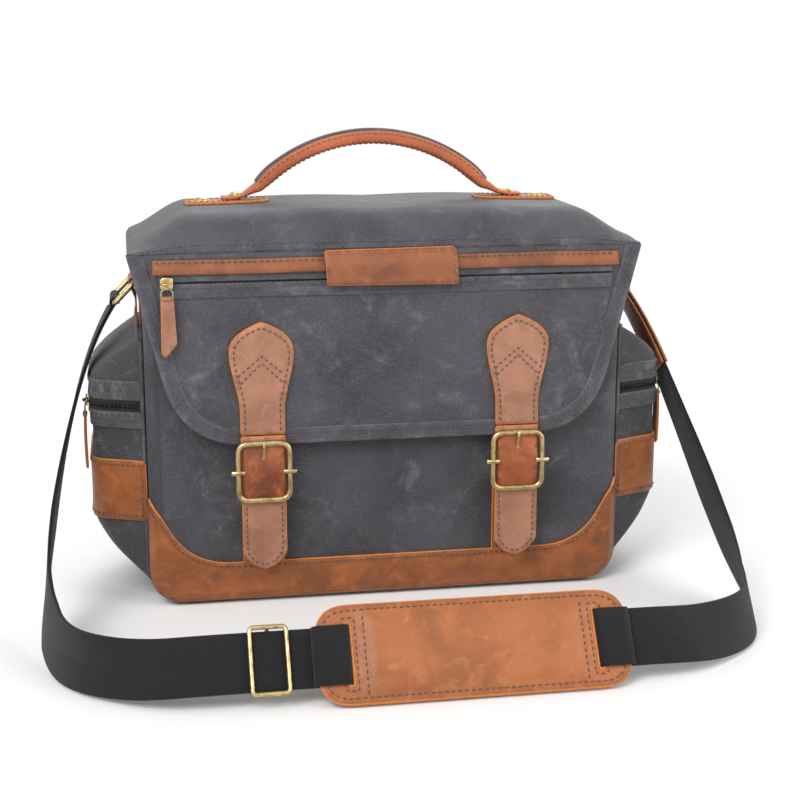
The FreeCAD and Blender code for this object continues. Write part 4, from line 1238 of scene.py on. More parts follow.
def makeRingTab(name, side):
    # a leather tab folded round the ring's upper bar and riveted through both its layers
    low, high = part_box(name + "_ring_tab")
    ringLow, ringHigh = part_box(name + "_ring")
    wall = case["halfWidth"]
    wire = 0.0020
    pivot = Vector((side * (wall + 0.00468), 0.0, 0.232))
    half = (high.y - low.y) / 2
    path = [Vector((wall + 0.0006, low.z + 0.0005)), Vector((wall + 0.0007, pivot.z - 0.010)),
            Vector((abs(pivot.x) - 0.0037, pivot.z))]
    for step in range(1, 8):
        angle = math.pi - math.pi * step / 7
        path.append(Vector((abs(pivot.x) + 0.0034 * math.cos(angle), pivot.z + 0.0034 * math.sin(angle))))
    path += [Vector((wall + 0.0034, pivot.z - 0.012)), Vector((wall + 0.0031, low.z + 0.0010))]
    path = evenly(path, 0.0011, closed=False)
    headings = travel(path)
    thick = 0.0019
    rings, cloth = [], []
    for index, (spot, heading) in enumerate(zip(path, headings)):
        out = Vector((-heading.y, heading.x))
        ring = []
        for across, level in ((-1, 0), (-1, 1), (-0.94, 1.2), (0.94, 1.2), (1, 1), (1, 0), (0.94, -0.2),
                              (-0.94, -0.2)):
            place = spot + out * (thick * (level - 0.5) * 0.5)
            ring.append(Vector((side * place.x, across * half, place.y)))
            cloth.append((across * half + 2.0 * side, index * 0.0011, level * 0.001))
        rings.append(ring)
    pile = Pile()
    loft(pile, rings, cloth, rim=[1, 1, 0.5, 0.5, 1, 1, 0.5, 0.5] * len(rings))
    onBody(weld(pile.make(name + "_ring_leather", ["oiled"])), "case", name + "_ring_tab")
    wires = Pile()
    outX = max(abs(ringLow.x), abs(ringHigh.x)) - wire
    outZ = ringLow.z + wire
    halfRing = (ringHigh.y - ringLow.y) / 2 - wire
    corners = [(-halfRing, 0.0), (halfRing, 0.0), (halfRing, 1.0), (-halfRing, 1.0)]
    inner = Vector((abs(pivot.x), pivot.z))
    outer = Vector((outX, outZ))
    length = (outer - inner).length
    flat = roundCorners([(y, share * length) for y, share in corners], 0.0035, 6)
    line = [Vector((side * inner.lerp(outer, v / length).x, y, inner.lerp(outer, v / length).y)) for y,
            v in flat]
    tube(wires, evenly3(line, 0.0012), wire, closed=True, sides=12)
    onBody(wires.make(name + "_ring_wire", ["brass"]), "case", name + "_ring")
    rivets = Pile()
    turned(rivets, (side * (wall + 0.0038), 0, 0.208), (side, 0, 0), dome(0.005, 0.0016, -0.0006))
    turned(rivets, (side * (wall + 0.0038), 0, 0.208), (side, 0, 0),
           [(0.0062, -0.0008), (0.0063, -0.0002), (0.0055, 0)])
    return rivets


makeTrim("front_trim", "front_leather_trim", caseFront, 0.2)
makeTrim("back_trim", "back_leather_trim", caseBack, 8.2)
makeStrips()
makeFrontPocket()
for tabName, tabSide in (("left", -1), ("right", 1)):
    onBody(makeRingTab(tabName, tabSide).make(tabName + "_tab_rivet", ["brassDark"]), "case", "tab_rivets")
print("trims, strips and ring tabs")


# leather and zip on the flap
weltLow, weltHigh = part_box("flap_welt")
patchLow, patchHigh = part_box("flap_patch")


def makeWelt():
    # a folded leather welt that shelters the zip, rolled at its lower edge
    rings, cloth, rim = [], [], []
    steps = 90
    reach = weltHigh.x
    height = weltHigh.z - weltLow.z
    section = [(1.0, 0.0002), (1.0, 0.0013), (0.9, 0.0019), (0.62, 0.0021), (0.42, 0.0027), (0.2, 0.0033),
               (-0.10, 0.0034), (-0.22, 0.0026), (-0.20, 0.0018), (0.12, 0.0012)]
    for step in range(steps + 1):
        x = -reach + 2 * reach * step / steps
        ripple = 0.00025 * math.sin(x * 70) + 0.0004 * noise.noise(Vector((x * 30, 0, 0)))
        ring = []
        for share, level in section:
            z = weltLow.z + height * share + ripple
            ring.append(Vector(flapFront(x, z, level + (ripple if level > 0.001 else 0.0))))
            cloth.append((x + 0.3, share * height, level))
            rim.append(1.0 if share in (1.0, -0.22, -0.20) else 0.15)
        rings.append(ring)
    pile = Pile()
    loft(pile, rings, cloth, rim=rim)
    onBody(pile.make("welt_leather", ["welt"]), "flap_front", "flap_welt")
    line = straight((-reach + 0.002, weltHigh.z - 0.0017), (reach - 0.002, weltHigh.z - 0.0017))
    stitchPiece("welt_stitches", [(line, False)], flapFront, 0.0020, "thread", "flap_front", 0.0026)


def makePatch():
    # the leather lifting patch, bowed over the welt and zip
    half = patchHigh.x
    low, high = patchLow.z, patchHigh.z - 0.0008

    def bow(x, z, d):
        share = min(max((z - low) / (high - low), 0.0), 1.0)
        swellOut = 0.0066 * (1 - ease(0.62, 1.0, share)) * (0.93 + 0.07 * ease(0.0, 0.2, share))
        ends = ease(0.0, 0.004, half - abs(x))
        lift = swellOut * (0.86 + 0.14 * ends) + 0.0003 * noise.noise(Vector((x * 40, z * 60, 4)))
        slant = 0.0010 * (x / half) * (share - 0.5)
        return flapFront(x + 0.0012 * (1 - share), z + slant, d + lift + 0.0004)

    corners = [(-half + 0.0008, low), (half - 0.0014, low), (half - 0.0014, high), (-half + 0.0002, high)]
    piece = plate("patch_leather", corners, bow, 0.0020, ["welt", "edge"], [0.0012, 0.0012, 0.0022, 0.0022],
                  bevel=0.0005, spacing=0.0028, edge=0.0025, seed=9.4, crown=0.0002)
    onBody(piece, "flap_front", "flap_patch")
    inset = 0.0026
    rows = [(straight((-half + inset, high - inset), (half - inset - 0.001, high - inset)), False)]
    for side in (-1, 1):
        x = side * (half - inset - 0.0006)
        rows.append((straight((x, high - inset - 0.004), (x, low + 0.004)), False))
    stitchPiece("patch_stitches", rows, bow, 0.0020, "threadTan", "flap_front", 0.0024)


def makeFlapZip():
    low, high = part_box("flap_zip_tape")
    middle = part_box("flap_zip_slider")
    centre = (middle[0].z + middle[1].z) / 2
    zipTape("flap_zip_cloth", "flap_zip_tape", flapFront, (low.x + 0.001, centre), (high.x - 0.001, centre),
            "flap_front", level=-0.0006, half=0.0052)
    lips = Pile()
    for lower, upper in ((centre - 0.0112, centre - 0.0006), (centre + 0.0006, weltLow.z + 0.001)):
        corners = [(low.x, lower), (high.x, lower), (high.x, upper), (low.x, upper)]
        plate("", corners, flapFront, 0.0012, ["canvas"], 0.0, bevel=0.0005, spacing=0.0032, seed=10.2,
              pile=lips,
              make=False)
    onBody(weld(lips.make("flap_zip_lips", ["canvas"])), "flap_front")
    line = straight((low.x + 0.002, centre - 0.0036), (high.x - 0.002, centre - 0.0036))
    stitchPiece("flap_lip_stitches", [(line, False)], flapFront, 0.0012, "threadGrey", "flap_front")
    zipHardware("flap_zip", (0, -1, 0), (1, 0, 0))


# buckle straps: a spade sewn to the flap, a tail with its buckle, prong and snap below
strap = dict(at=0.093, half=0.016, wide=0.023, wideAt=0.189, waist=0.150, tip=0.212, foot=0.1304,
             thick=0.0030,
             tailTop=0.1296, tailTip=0.030, point=0.012, row=0.0034, nose=2.6)


def spadeOutline(middle, inset=0.0, foot=None):
    # right half from the foot up to the tip as one flowing line, then mirrored
    foot = strap["foot"] if foot is None else foot
    half, wide, tip = strap["half"] - inset, strap["wide"] - inset, strap["tip"] - inset * 1.25
    side = []
    for step in range(41):
        share = step / 40
        z = foot + (tip - foot) * share
        belly = ease(strap["waist"] - 0.003, strap["wideAt"] + 0.001, z)
        width = half + (wide - half) * belly
        crown = max((z - strap["wideAt"]) / (tip - strap["wideAt"]), 0.0)
        width *= max(1 - crown ** strap["nose"], 0.0)
        side.append(Vector((width, z)))
    right = [Vector((middle + spot.x, spot.y)) for spot in side]
    left = [Vector((middle - spot.x, spot.y)) for spot in reversed(side[:-1])]
    return right + left


def makeSpades():
    pile = Pile()
    rows = []
    level = flap["hemThick"]

    def lay(x, z, d):
        # the spade lies on the cloth and steps up over the binding at its foot
        rise = level * (1 - ease(flap["foot"] + flap["hem"], flap["foot"] + flap["hem"] + 0.008, z))
        return flapFront(x, z, d + 0.0002 + rise)

    for side in (-1, 1):
        middle = strap["at"] * side
        outline = [tuple(spot) for spot in spadeOutline(middle)]
        plate("", outline, lay, strap["thick"] - 0.0002, ["strap", "edge"], 0.0, bevel=0.0007, spacing=0.0032,
              edge=0.0024, seed=11 + side, crown=0.0003, pile=pile, make=False)
        rows.append((spadeOutline(middle, strap["row"], strap["foot"] + 0.003), False))
        peak = strap["wideAt"] - 0.0015
        for drop in (0.0, 0.0052):
            reach = strap["half"] + 0.001 - drop * 0.3
            rows.append(([Vector((middle - reach, peak - 0.0145 - drop)), Vector((middle, peak - drop)),
                          Vector((middle + reach, peak - 0.0145 - drop))], False))
    onBody(weld(pile.make("spade_pair", ["strap", "edge"])), "flap_front", "strap_spades")
    stitchPiece("spade_stitches", rows, lay, strap["thick"], "thread", "flap_front")


def tailSkin(middle):
    def skin(x, z, d):
        # the leather swells over the buckle's centre bar
        hump = 0.0030 * math.exp(-((z - 0.104) / 0.0115) ** 2)
        curl = 0.0006 * math.sin((z - strap["tailTip"]) * 60)
        return (x, -(0.0829 + d + hump * (0.55 + 0.45 * swell((x - middle) / 0.017)) + curl * 0.4), z)
    return skin


def makeStrap(name, side):
    middle = strap["at"] * side
    skin = tailSkin(middle)
    half = strap["half"]
    body = "strap_" + name
    nose = [(middle - half, strap["tailTop"]), (middle - half, strap["tailTip"] + strap["point"]),
            (middle - half * 0.55, strap["tailTip"] + 0.0035), (middle, strap["tailTip"]),
            (middle + half * 0.55, strap["tailTip"] + 0.0035),
            (middle + half, strap["tailTip"] + strap["point"]),
            (middle + half, strap["tailTop"])]
    tail = plate(name + "_tail_leather", nose, skin, strap["thick"] - 0.0004, ["strap", "edge"],
                 [0.0008, 0.007, 0.010, 0.002, 0.010, 0.007, 0.0008], bevel=0.0007, spacing=0.0030,
                 edge=0.0022,
                 seed=13 + side, crown=0.0003)
    onBody(tail, body, "strap_tail_" + name)
    inset = strap["row"] - 0.0002
    nose = evenly(roundCorners(nose, [0.0, 0.007, 0.010, 0.002, 0.010, 0.007, 0.0]), 0.002, closed=False)
    line = [spot for spot in insetLine(nose, inset, closed=False) if spot.y < 0.0795]
    rows = [(line, False)]
    stitchPiece(name + "_tail_stitches", rows, skin, strap["thick"] - 0.0004, "thread", body)
    keeper = Pile()
    corners = [(middle - half + 0.001, 0.0815), (middle + half - 0.001, 0.0815),
               (middle + half - 0.001, 0.1265),
               (middle - half + 0.001, 0.1265)]
    rise = above(skin, strap["thick"] - 0.0004)

    def saddle(x, z, d):
        # the strap's folded end, dark and glossy, arched over the bar inside the buckle
        arched = 0.0016 * math.sin(math.pi * min(max((z - 0.0815) / 0.045, 0.0), 1.0))
        return rise(x, z, d + arched)

    plate("", corners, saddle, 0.0010, ["inside", "edge"], 0.0022, bevel=0.0004, spacing=0.0028, edge=0.0022,
          seed=15 + side, crown=0.0003, pile=keeper, make=False)
    onBody(weld(keeper.make(name + "_strap_saddle", ["inside", "edgeDark"])), body)
    holes = Pile()
    for height in (0.0905, 0.1150):
        x, y, z = saddle(middle, height, 0.0010)
        turned(holes, (x, y + 0.0002, z), (0, -1, 0), [(0.0019, 0.0), (0.0020, 0.0005), (0.0016, 0.0006),
                                                        (0.0013, 0.0001), (0.0001, 0.0)], 16)
    onBody(holes.make(name + "_strap_eyelets", ["brassDark"]), body)
    cap = Pile()
    turned(cap, (middle, -0.0826, 0.055), (0, 1, 0), [(0.0085, 0.0), (0.0085, 0.0050), (0.0078, 0.0062),
                                                      (0.0060, 0.0070),
                                                       (0.0055, 0.0058), (0.0001, 0.0055)])
    onBody(cap.make(name + "_snap_socket", ["brass"]), body)

    frameZ = 0.104
    low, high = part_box("buckle_" + name)
    wide = 0.0205
    tall = (high.z - low.z) / 2
    radius = 0.0021
    face = -0.0880
    loop = roundCorners([(middle - wide + radius, frameZ - tall + radius),
                         (middle + wide - radius, frameZ - tall + radius),
                         (middle + wide - radius, frameZ + tall - radius),
                         (middle - wide + radius, frameZ + tall - radius)], 0.0075, 8)
    line = []
    for x, z in loop:
        bow = 0.0004 * swell((z - frameZ) / tall)
        line.append(Vector((x, face - bow, z)))
    pile = Pile()
    tube(pile, evenly3(line, 0.0015), radius, closed=True, sides=14)
    pinEnd = (high.x - low.x) / 2
    bar(pile, (middle - pinEnd, -0.0892, frameZ), (middle - 0.0135, -0.0892, frameZ), 0.00185)
    bar(pile, (middle + 0.0135, -0.0892, frameZ), (middle + pinEnd, -0.0892, frameZ), 0.00185)
    onBody(pile.make(name + "_buckle_frame", ["brass"]), body, "buckle_" + name)
    prong = Pile()
    blade = [(-0.0880, 0.0), (-0.0880, 0.006), (-0.0884, 0.012), (-0.0895, 0.0155), (-0.0910, 0.0175),
             (-0.0914, 0.0200), (-0.0909, 0.0225)]
    path = evenly([Vector(spot) for spot in blade], 0.0012, closed=False)
    sizes = [0.0018 - 0.0006 * index / len(path) for index in range(len(path))]
    tube(prong, [Vector((middle, spot.x, frameZ + spot.y)) for spot in path], sizes, sides=12, flat=0.8,
         up=(0, 1, 0))
    turned(prong, (middle - 0.0020, -0.0885, frameZ), (1, 0, 0),
           [(0.0020, 0.0), (0.0023, 0.0004), (0.0023, 0.0036),
             (0.0020, 0.0040)], 20)
    onBody(prong.make(name + "_prong_bar", ["brass"]), "prong_" + name, "prong_" + name)


makeWelt()
makePatch()
makeFlapZip()
makeSpades()
makeStrap("left", -1)
makeStrap("right", 1)
print("flap leather, spades and buckle straps")


# the carrying handle: a stitched leather grip with a canvas strip along its crest, on two studded tabs
handleLow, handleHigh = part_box("handle")
grip = dict(radius=0.120, half=0.007, thick=0.012, centreY=(handleLow.y + handleHigh.y) / 2, top=handleHigh.z,
            sweep=math.radians(45.2), pucker=0.0042, puckerDepth=0.0009, tabThick=0.0021)
grip["centreZ"] = grip["top"] - grip["radius"] - grip["thick"] / 2


def handleLine():
    # the middle of the grip from the left tab, up and over, to the right tab
    radius, z0 = grip["radius"], grip["centreZ"]
    end = grip["sweep"]
    foot = [Vector((0.1130, 0.2904)), Vector((0.1045, 0.2906)), Vector((0.0965, 0.2925)),
            Vector((0.0900, 0.2962))]
    arc = [Vector((radius * math.sin(end * share), z0 + radius * math.cos(end * share)))
           for share in [1 - 2 * step / 80 for step in range(81)]]
    left = [Vector((-spot.x, spot.y)) for spot in foot]
    return evenly(left + [Vector((-spot.x, spot.y)) for spot in arc] + list(reversed(foot)), 0.0014,
                  closed=False)


def gripHalf(x):
    # half the grip's thickness: full along the arch, thin where it lies on the tabs
    return 0.0016 + (grip["thick"] / 2 - 0.0022) * (1 - ease(0.074, 0.1, abs(x)))


def makeHandle():
    line = handleLine()
    headings = travel(line)
    rings, cloth, rim = [], [], []
    width = grip["half"]
    for index, (spot, heading) in enumerate(zip(line, headings)):
        out = Vector((-heading.y, heading.x))
        half = gripHalf(spot.x)
        run = index * 0.0014
        pinch = grip["puckerDepth"] * (0.5 + 0.5 * math.cos(run * math.tau / grip["pucker"]))
        pinch *= 1 - ease(0.070, 0.085, abs(spot.x))
        ring = []
        for step in range(24):
            angle = math.tau * step / 24
            c, s = math.cos(angle), math.sin(angle)
            across = width * math.copysign(abs(c) ** 0.6, c)
            level = half * math.copysign(abs(s) ** 0.62, s)
            if s < -0.1:
                level += pinch * min(-s * 1.6, 1.0)
                across *= 1 - 0.05 * math.cos(run * math.tau / grip["pucker"])
            ring.append(Vector((spot.x + out.x * level, grip["centreY"] + across, spot.y + out.y * level)))
            cloth.append((run + 1.1, angle * 0.006, 0.2))
            rim.append(0.5 if s < -0.75 else 0.0)
        rings.append(ring)
    pile = Pile()
    loft(pile, rings, cloth, rim=rim)
    piece = pile.make("handle_grip", ["handle"])
    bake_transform(piece)
    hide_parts("handle")
    crest = Pile()
    rings, cloth = [], []
    for index, (spot, heading) in enumerate(zip(line, headings)):
        if abs(spot.x) > 0.0865:
            continue
        out = Vector((-heading.y, heading.x))
        top = gripHalf(spot.x)
        ring = []
        for across, level in ((-0.62, -0.0014), (-0.66, -0.0002), (-0.56, 0.0008), (-0.2, 0.0013),
                              (0.4, 0.0013),
                              (0.9, 0.0006), (1.02, -0.0006), (0.98, -0.0020)):
            height = top + level
            ring.append(Vector((spot.x + out.x * height, grip["centreY"] + across * width * 0.97,
                                spot.y + out.y * height)))
            cloth.append((index * 0.0014, across * width, 0.6))
        rings.append(ring)
    loft(crest, rings, cloth, rim=[1, 0.6, 0.3, 0, 0, 0.3, 0.6, 1] * len(rings))
    onBody(crest.make("handle_crest_strip", ["canvas"]), "handle")
    seam = Pile()
    for edge in (-1, 1):
        path = []
        for spot, heading in zip(line, headings):
            if abs(spot.x) < 0.084:
                out = Vector((-heading.y, heading.x))
                path.append(Vector((spot.x + out.x * gripHalf(spot.x) * 0.60,
                                    grip["centreY"] + edge * (width + 0.0003),
                                    spot.y + out.y * gripHalf(spot.x) * 0.60)))
        for start in range(0, len(path) - 3, 3):
            tube(seam, path[start:start + 3], [0.0002, 0.00042, 0.0002], sides=5)
    onBody(seam.make("handle_stitches", ["threadTan"]), "handle")


def trackPlace(y):
    # how far along the flap's line the top lies over y
    flat = [(abs(spot.x - y), index) for index,
            spot in enumerate(flapTrack.points) if spot.y > flap["crest"] - 0.004]
    return min(flat)[1] * flapTrack.step


def makeHandleTabs():
    for name, side in (("left", -1), ("right", 1)):
        low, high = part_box("handle_tab_" + name)
        front, back = trackPlace(high.y), trackPlace(low.y)
        inner, outer = min(abs(low.x), abs(high.x)), max(abs(low.x), abs(high.x))
        middle = (front + back) / 2
        half = (high.y - low.y) / 2
        corners = [(side * inner, middle - half * 0.62), (side * inner, middle + half * 0.62),
                   (side * (inner + 0.016), middle + half), (side * outer, middle + half),
                   (side * outer, middle - half), (side * (inner + 0.016), middle - half)]
        tab = plate("handle_tab_leather_" + name, corners, flapTop, grip["tabThick"], ["oiled", "edge"],
                    [0.004, 0.004, 0.008, 0.005, 0.005, 0.008], bevel=0.0005, spacing=0.003, edge=0.0025,
                    seed=17 + side, crown=0.0003)
        onBody(tab, "flap_top", "handle_tab_" + name)
        inset = 0.0030
        row = insetLine(evenly([Vector(c) for c in roundCorners(corners, 0.007)], 0.003), inset)
        if area(row) < 0:
            row = insetLine(list(reversed(evenly([Vector(c) for c in roundCorners(corners, 0.007)], 0.003))),
                            inset)
        stitchPiece("handle_tab_stitches_" + name, [(row, True)], flapTop, grip["tabThick"], "threadTan",
                    "flap_top",
                    0.0024)
        studs = Pile()
        for along in (0.38, 0.80):
            x = side * (inner + (outer - inner) * along)
            lift = 0.0032 if along < 0.5 else 0.0
            foot = Vector(flapTop(x, middle, grip["tabThick"] + lift))
            head = Vector(flapTop(x, middle, grip["tabThick"] + lift + 0.004)) - foot
            turned(studs, foot, head, [(0.0062, -0.0004), (0.0063, 0.0005), (0.0052, 0.0010)])
            turned(studs, foot, head, dome(0.0050, 0.0022, 0.0006))
        onBody(studs.make("handle_stud_pair_" + name, ["brass"]), "flap_top", "handle_studs")


makeHandle()
makeHandleTabs()
print("handle")


# the shoulder strap: webbing from ring to ring, lying on its edge in front of the bag
run = dict(front=0.250, height=0.0265, lean=math.radians(35), half=0.135, width=0.038, layer=0.0011)
across = Vector((0, math.sin(run["lean"]), math.cos(run["lean"])))
outward = Vector((0, -math.cos(run["lean"]), math.sin(run["lean"])))
strapPlaces = [((0.1963, 0, 0.2129), (0, -1, 0)), ((0.211, -0.006, 0.190), (0, -1, 0.05)),
               ((0.227, -0.028, 0.142), (0, -1, 0.2)), ((0.239, -0.066, 0.092), (0, -0.9, 0.45)),
               ((0.247, -0.112, 0.044), (-0.1, -0.5, 0.8)), ((0.245, -0.168, 0.0186), (-0.25, 0, 0.97)),
               ((0.227, -0.216, 0.0196), (-0.2, 0.15, 0.96)), ((0.183, -0.242, 0.0216), (-0.1, 0.35, 0.93)),
               ((0.160, -0.250, 0.0265), tuple(across)), ((0.135, -0.250, 0.0265), tuple(across))]


def splinePoint(share):
    # a point on the cubic spline that the strap's places control, clamped at both ends
    poles = [Vector(place) for place, width in strapPlaces]
    spans = len(poles) - 3
    knots = [0] * 4 + list(range(1, spans)) + [spans] * 4
    where = min(share * spans, spans - 1e-9)
    span = 3 + int(where)
    work = [poles[span - 3 + index] for index in range(4)]
    for level in range(1, 4):
        for index in range(3, level - 1, -1):
            low = knots[span - 3 + index]
            high = knots[span + 1 + index - level]
            blend = (where - low) / (high - low)
            work[index] = work[index - 1].lerp(work[index], blend)
    return work[3]


def strapStations(side, count=140):
    # (place, outward direction, direction of the width) from a ring down to the straight run
    made = []
    legs = len(strapPlaces) - 1
    for index in range(count + 1):
        share = index / count
        spot = splinePoint(share)
        heading = (splinePoint(min(share + 0.002, 1)) - splinePoint(max(share - 0.002, 0))).normalized()
        leg = min(int(share * legs), legs - 1)
        wide = Vector(strapPlaces[leg][1]).lerp(Vector(strapPlaces[leg + 1][1]), share * legs - leg)
        wide = (wide - heading * wide.dot(heading)).normalized()
        out = heading.cross(wide).normalized()
        out = out if out.x > 0 or share > 0.6 and out.y < 0 else -out
        made.append((spot, out, wide))
    for index in range(1, len(made)):
        if made[index][1].dot(made[index - 1][1]) < 0:
            made[index] = (made[index][0], -made[index][1], made[index][2])
    if side < 0:
        made = [tuple(Vector((-v.x, v.y, v.z)) for v in station) for station in made]
    return made


def ribbon(pile, stations, width, thick, offset=0.0, edge=0.0006, seed=0.0, mark=0, start=0.0):
    # a flat band: a rounded section at every station
    half, through = width / 2, thick / 2
    section = [(-half, -through * 0.5), (-half, through * 0.5), (-half + edge, through),
               (-half * 0.33, through),
               (half * 0.33, through), (half - edge, through), (half, through * 0.5), (half, -through * 0.5),
               (half - edge, -through), (half * 0.33, -through), (-half * 0.33, -through),
               (-half + edge, -through)]
    rings, cloth, rim = [], [], []
    reach = start
    for index, (spot, out, wide) in enumerate(stations):
        reach += (spot - stations[index - 1][0]).length if index else 0.0
        rings.append([spot + wide * sideways + out * (level + offset) for sideways, level in section])
        cloth += [(reach, sideways, seed + level) for sideways, level in section]
        rim += [1, 1, 0.5, 0, 0, 0.5, 1, 1, 0.5, 0, 0, 0.5]
    loft(pile, rings, cloth, rim=rim, mark=mark)


def ringLoop(side, gapOut, steps=16):
    # round the ring's lower bar: up outside it, over, and down inside
    bar = Vector((0.1938, 0, 0.2179))
    start = Vector(strapPlaces[0][0])
    made = []
    for step in range(steps + 1):
        angle = math.radians(-35) + math.radians(235) * step / steps
        out = Vector((math.cos(angle), 0, math.sin(angle)))
        made.append((bar + out * gapOut, out, Vector((0, -1, 0))))
    joins = [(start + Vector((0.0012, 0, 0.0006)), made[0][1], Vector((0, -1, 0)))]
    made = joins + made
    if side < 0:
        made = [tuple(Vector((-v.x, v.y, v.z)) for v in station) for station in made]
    return made


def frontRun(first, last, step=0.004, bow=None):
    # stations on the straight run; bow lifts the band outwards at x
    count = max(int(abs(last - first) / step), 1)
    made = []
    for index in range(count + 1):
        x = first + (last - first) * index / count
        lift = bow(x) if bow else 0.0
        spot = Vector((x, -run["front"], run["height"])) + outward * lift
        made.append((spot, outward, across))
    return made


def matched(stations):
    # widths that run against the station before are turned over, so the band never twists by half a turn
    for index in range(1, len(stations)):
        spot, out, wide = stations[index]
        if wide.dot(stations[index - 1][2]) < 0:
            wide = -wide
        if out.dot(stations[index - 1][1]) < 0:
            out = -out
        stations[index] = (spot, out, wide)
    return stations


def makeWebbing():
    right = strapStations(1)
    left = strapStations(-1)
    whole = matched(list(left) + frontRun(-run["half"] + 0.004, run["half"] - 0.004) + list(reversed(right)))
    pile = Pile()
    ribbon(pile, whole, run["width"], run["layer"] * 1.25, run["layer"] * 0.62)
    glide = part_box("strap_triglide")
    turnAt = (glide[0].x + glide[1].x) / 2
    under = matched(list(left) + frontRun(-run["half"] + 0.004, turnAt))
    ribbon(pile, under, run["width"], run["layer"], -run["layer"] * 0.62, seed=0.7)
    loop = ringLoop(-1, 0.0030)
    ribbon(pile, loop, run["width"] - 0.001, run["layer"] * 1.2, seed=1.4)
    onBody(weld(pile.make("webbing_band", ["webbing"]), 0.000005), "case", "strap_webbing")
    return right


def makeChape(right):
    # folded leather over the webbing's end at the right ring
    piece = Pile()
    reach, stations = 0.0, []
    for index, station in enumerate(right):
        reach += (station[0] - right[index - 1][0]).length if index else 0.0
        if reach <= 0.070:
            stations.append(station)
    thick = 0.0018
    ribbon(piece, stations, run["width"] + 0.0012, thick, run["layer"] * 1.25 + thick / 2, seed=3.3)
    ribbon(piece, stations, run["width"] + 0.0012, thick, -thick / 2, seed=3.9)
    ribbon(piece, ringLoop(1, 0.0033), run["width"] + 0.0008, thick, seed=4.5)
    onBody(piece.make("chape_leather", ["pad"]), "case", "strap_chape")
    rows = Pile()
    for sideways in (-0.0158, 0.0158):
        path = [spot + wide * sideways + out * (run["layer"] * 1.25 + thick + 0.0002)
                for spot, out, wide in stations[4:-1]]
        for start in range(0, len(path) - 2, 2):
            tube(rows, [path[start], path[start].lerp(path[start + 1], 0.9)], [0.0004, 0.0004], sides=5)
    for index in (5, len(stations) - 3):
        spot, out, wide = stations[index]
        for step in range(-7, 8):
            middle = spot + wide * (step * 0.0021) + out * (run["layer"] * 1.25 + thick + 0.0002)
            tube(rows, [middle - wide * 0.0007, middle + wide * 0.0007], [0.0004, 0.0004], sides=5)
    onBody(rows.make("chape_stitches", ["thread"]), "case")


def onRun(place, offset=0.0):
    # local coordinates on the straight run: along it, up its width, and outwards
    def skin(x, w, d):
        return tuple(Vector((place + x, -run["front"], run["height"])) + across * w + outward * (d + offset))
    return skin


# the shoulder pad: two faces of leather over foam, with a slotted tongue at each end
padLook = dict(half=0.1020, tall=0.0322, corner=0.022, slotAt=0.0805, slotTall=0.0205, back=0.0016,
               thick=0.0052, middle=0.025, row=0.0042)


def makePad():
    skin = onRun(padLook["middle"], padLook["back"])
    half, tall = padLook["half"], padLook["tall"]
    corners = [(-half, -tall), (half, -tall), (half, tall), (-half, tall)]

    def puffed(x, w, d):
        # foam between the slots, flat leather at the tongues and along the edge
        inner = min(ease(0.0, 0.014, tall - abs(w)), ease(0.0, 0.012, padLook["slotAt"] - 0.004 - abs(x)))
        wave = 0.0006 * noise.noise(Vector((x * 25, w * 30, 1)))
        front = d / padLook["thick"]
        return skin(x, w, d * (0.62 + 0.38 * inner) + (0.0022 * inner + wave * inner) * front)

    body = plate("pad_leather", corners, puffed, padLook["thick"], ["pad", "edge"], padLook["corner"],
                 bevel=0.0009,
                 spacing=0.0035, edge=0.0026, seed=20.0, crown=0.0, fade=0.003)
    onBody(body, "shoulder_pad", "shoulder_pad")
    rows = []
    outline = evenly(roundCorners(corners, padLook["corner"], 12), 0.0035)
    rows.append((insetLine(outline, padLook["row"]), True))
    for side in (-1, 1):
        edge = side * (padLook["slotAt"] - 0.0095)
        rows.append((straight((edge, -tall + 0.006), (edge, tall - 0.006)), False))
        line = roundCorners([(side * padLook["slotAt"] - 0.0042, -padLook["slotTall"] - 0.0028),
                             (side * padLook["slotAt"] + 0.0042, -padLook["slotTall"] - 0.0028),
                             (side * padLook["slotAt"] + 0.0042, padLook["slotTall"] + 0.0028),
                             (side * padLook["slotAt"] - 0.0042, padLook["slotTall"] + 0.0028)], 0.002)
        rows.append((evenly(line, 0.0025), True))
    stitchPiece("pad_stitches", rows, puffed, padLook["thick"], "thread", "shoulder_pad")
    slots = Pile()
    for side in (-1, 1):
        middle = side * padLook["slotAt"]
        outline = roundCorners([(middle - 0.0016, -padLook["slotTall"]),
                                (middle + 0.0016, -padLook["slotTall"]),
                                (middle + 0.0016, padLook["slotTall"]),
                                (middle - 0.0016, padLook["slotTall"])], 0.0014)
        path = [Vector(puffed(x, w, padLook["thick"] + 0.0001)) for x, w in outline]
        tube(slots, evenly3(path, 0.0015), 0.0007, closed=True, sides=8)
    onBody(slots.make("pad_slot_edges", ["edge"]), "shoulder_pad")
    loops = Pile()
    for side in (-1, 1):
        # the webbing comes up through each slot and lies over the tongue
        path = [(0.0800, 0.0008), (0.0803, 0.0045), (0.0820, 0.0066), (0.0860, 0.0070), (0.0930, 0.0069),
                (0.0990, 0.0067), (0.1016, 0.0060), (0.1030, 0.0046), (0.1036, 0.0028), (0.1032, 0.0012)]
        flat = evenly([Vector(spot) for spot in path], 0.0012, closed=False)
        headings = travel(flat)
        stations = []
        for spot, heading in zip(flat, headings):
            out = (outward * heading.x - Vector((side, 0, 0)) * heading.y).normalized()
            stations.append((Vector(onRun(padLook["middle"])(side * spot.x, 0.0, spot.y)), out, across))
        ribbon(loops, stations, run["width"], run["layer"] * 1.25, seed=5.0, start=side)
    onBody(loops.make("pad_tongue_webbing", ["webbing"]), "shoulder_pad")


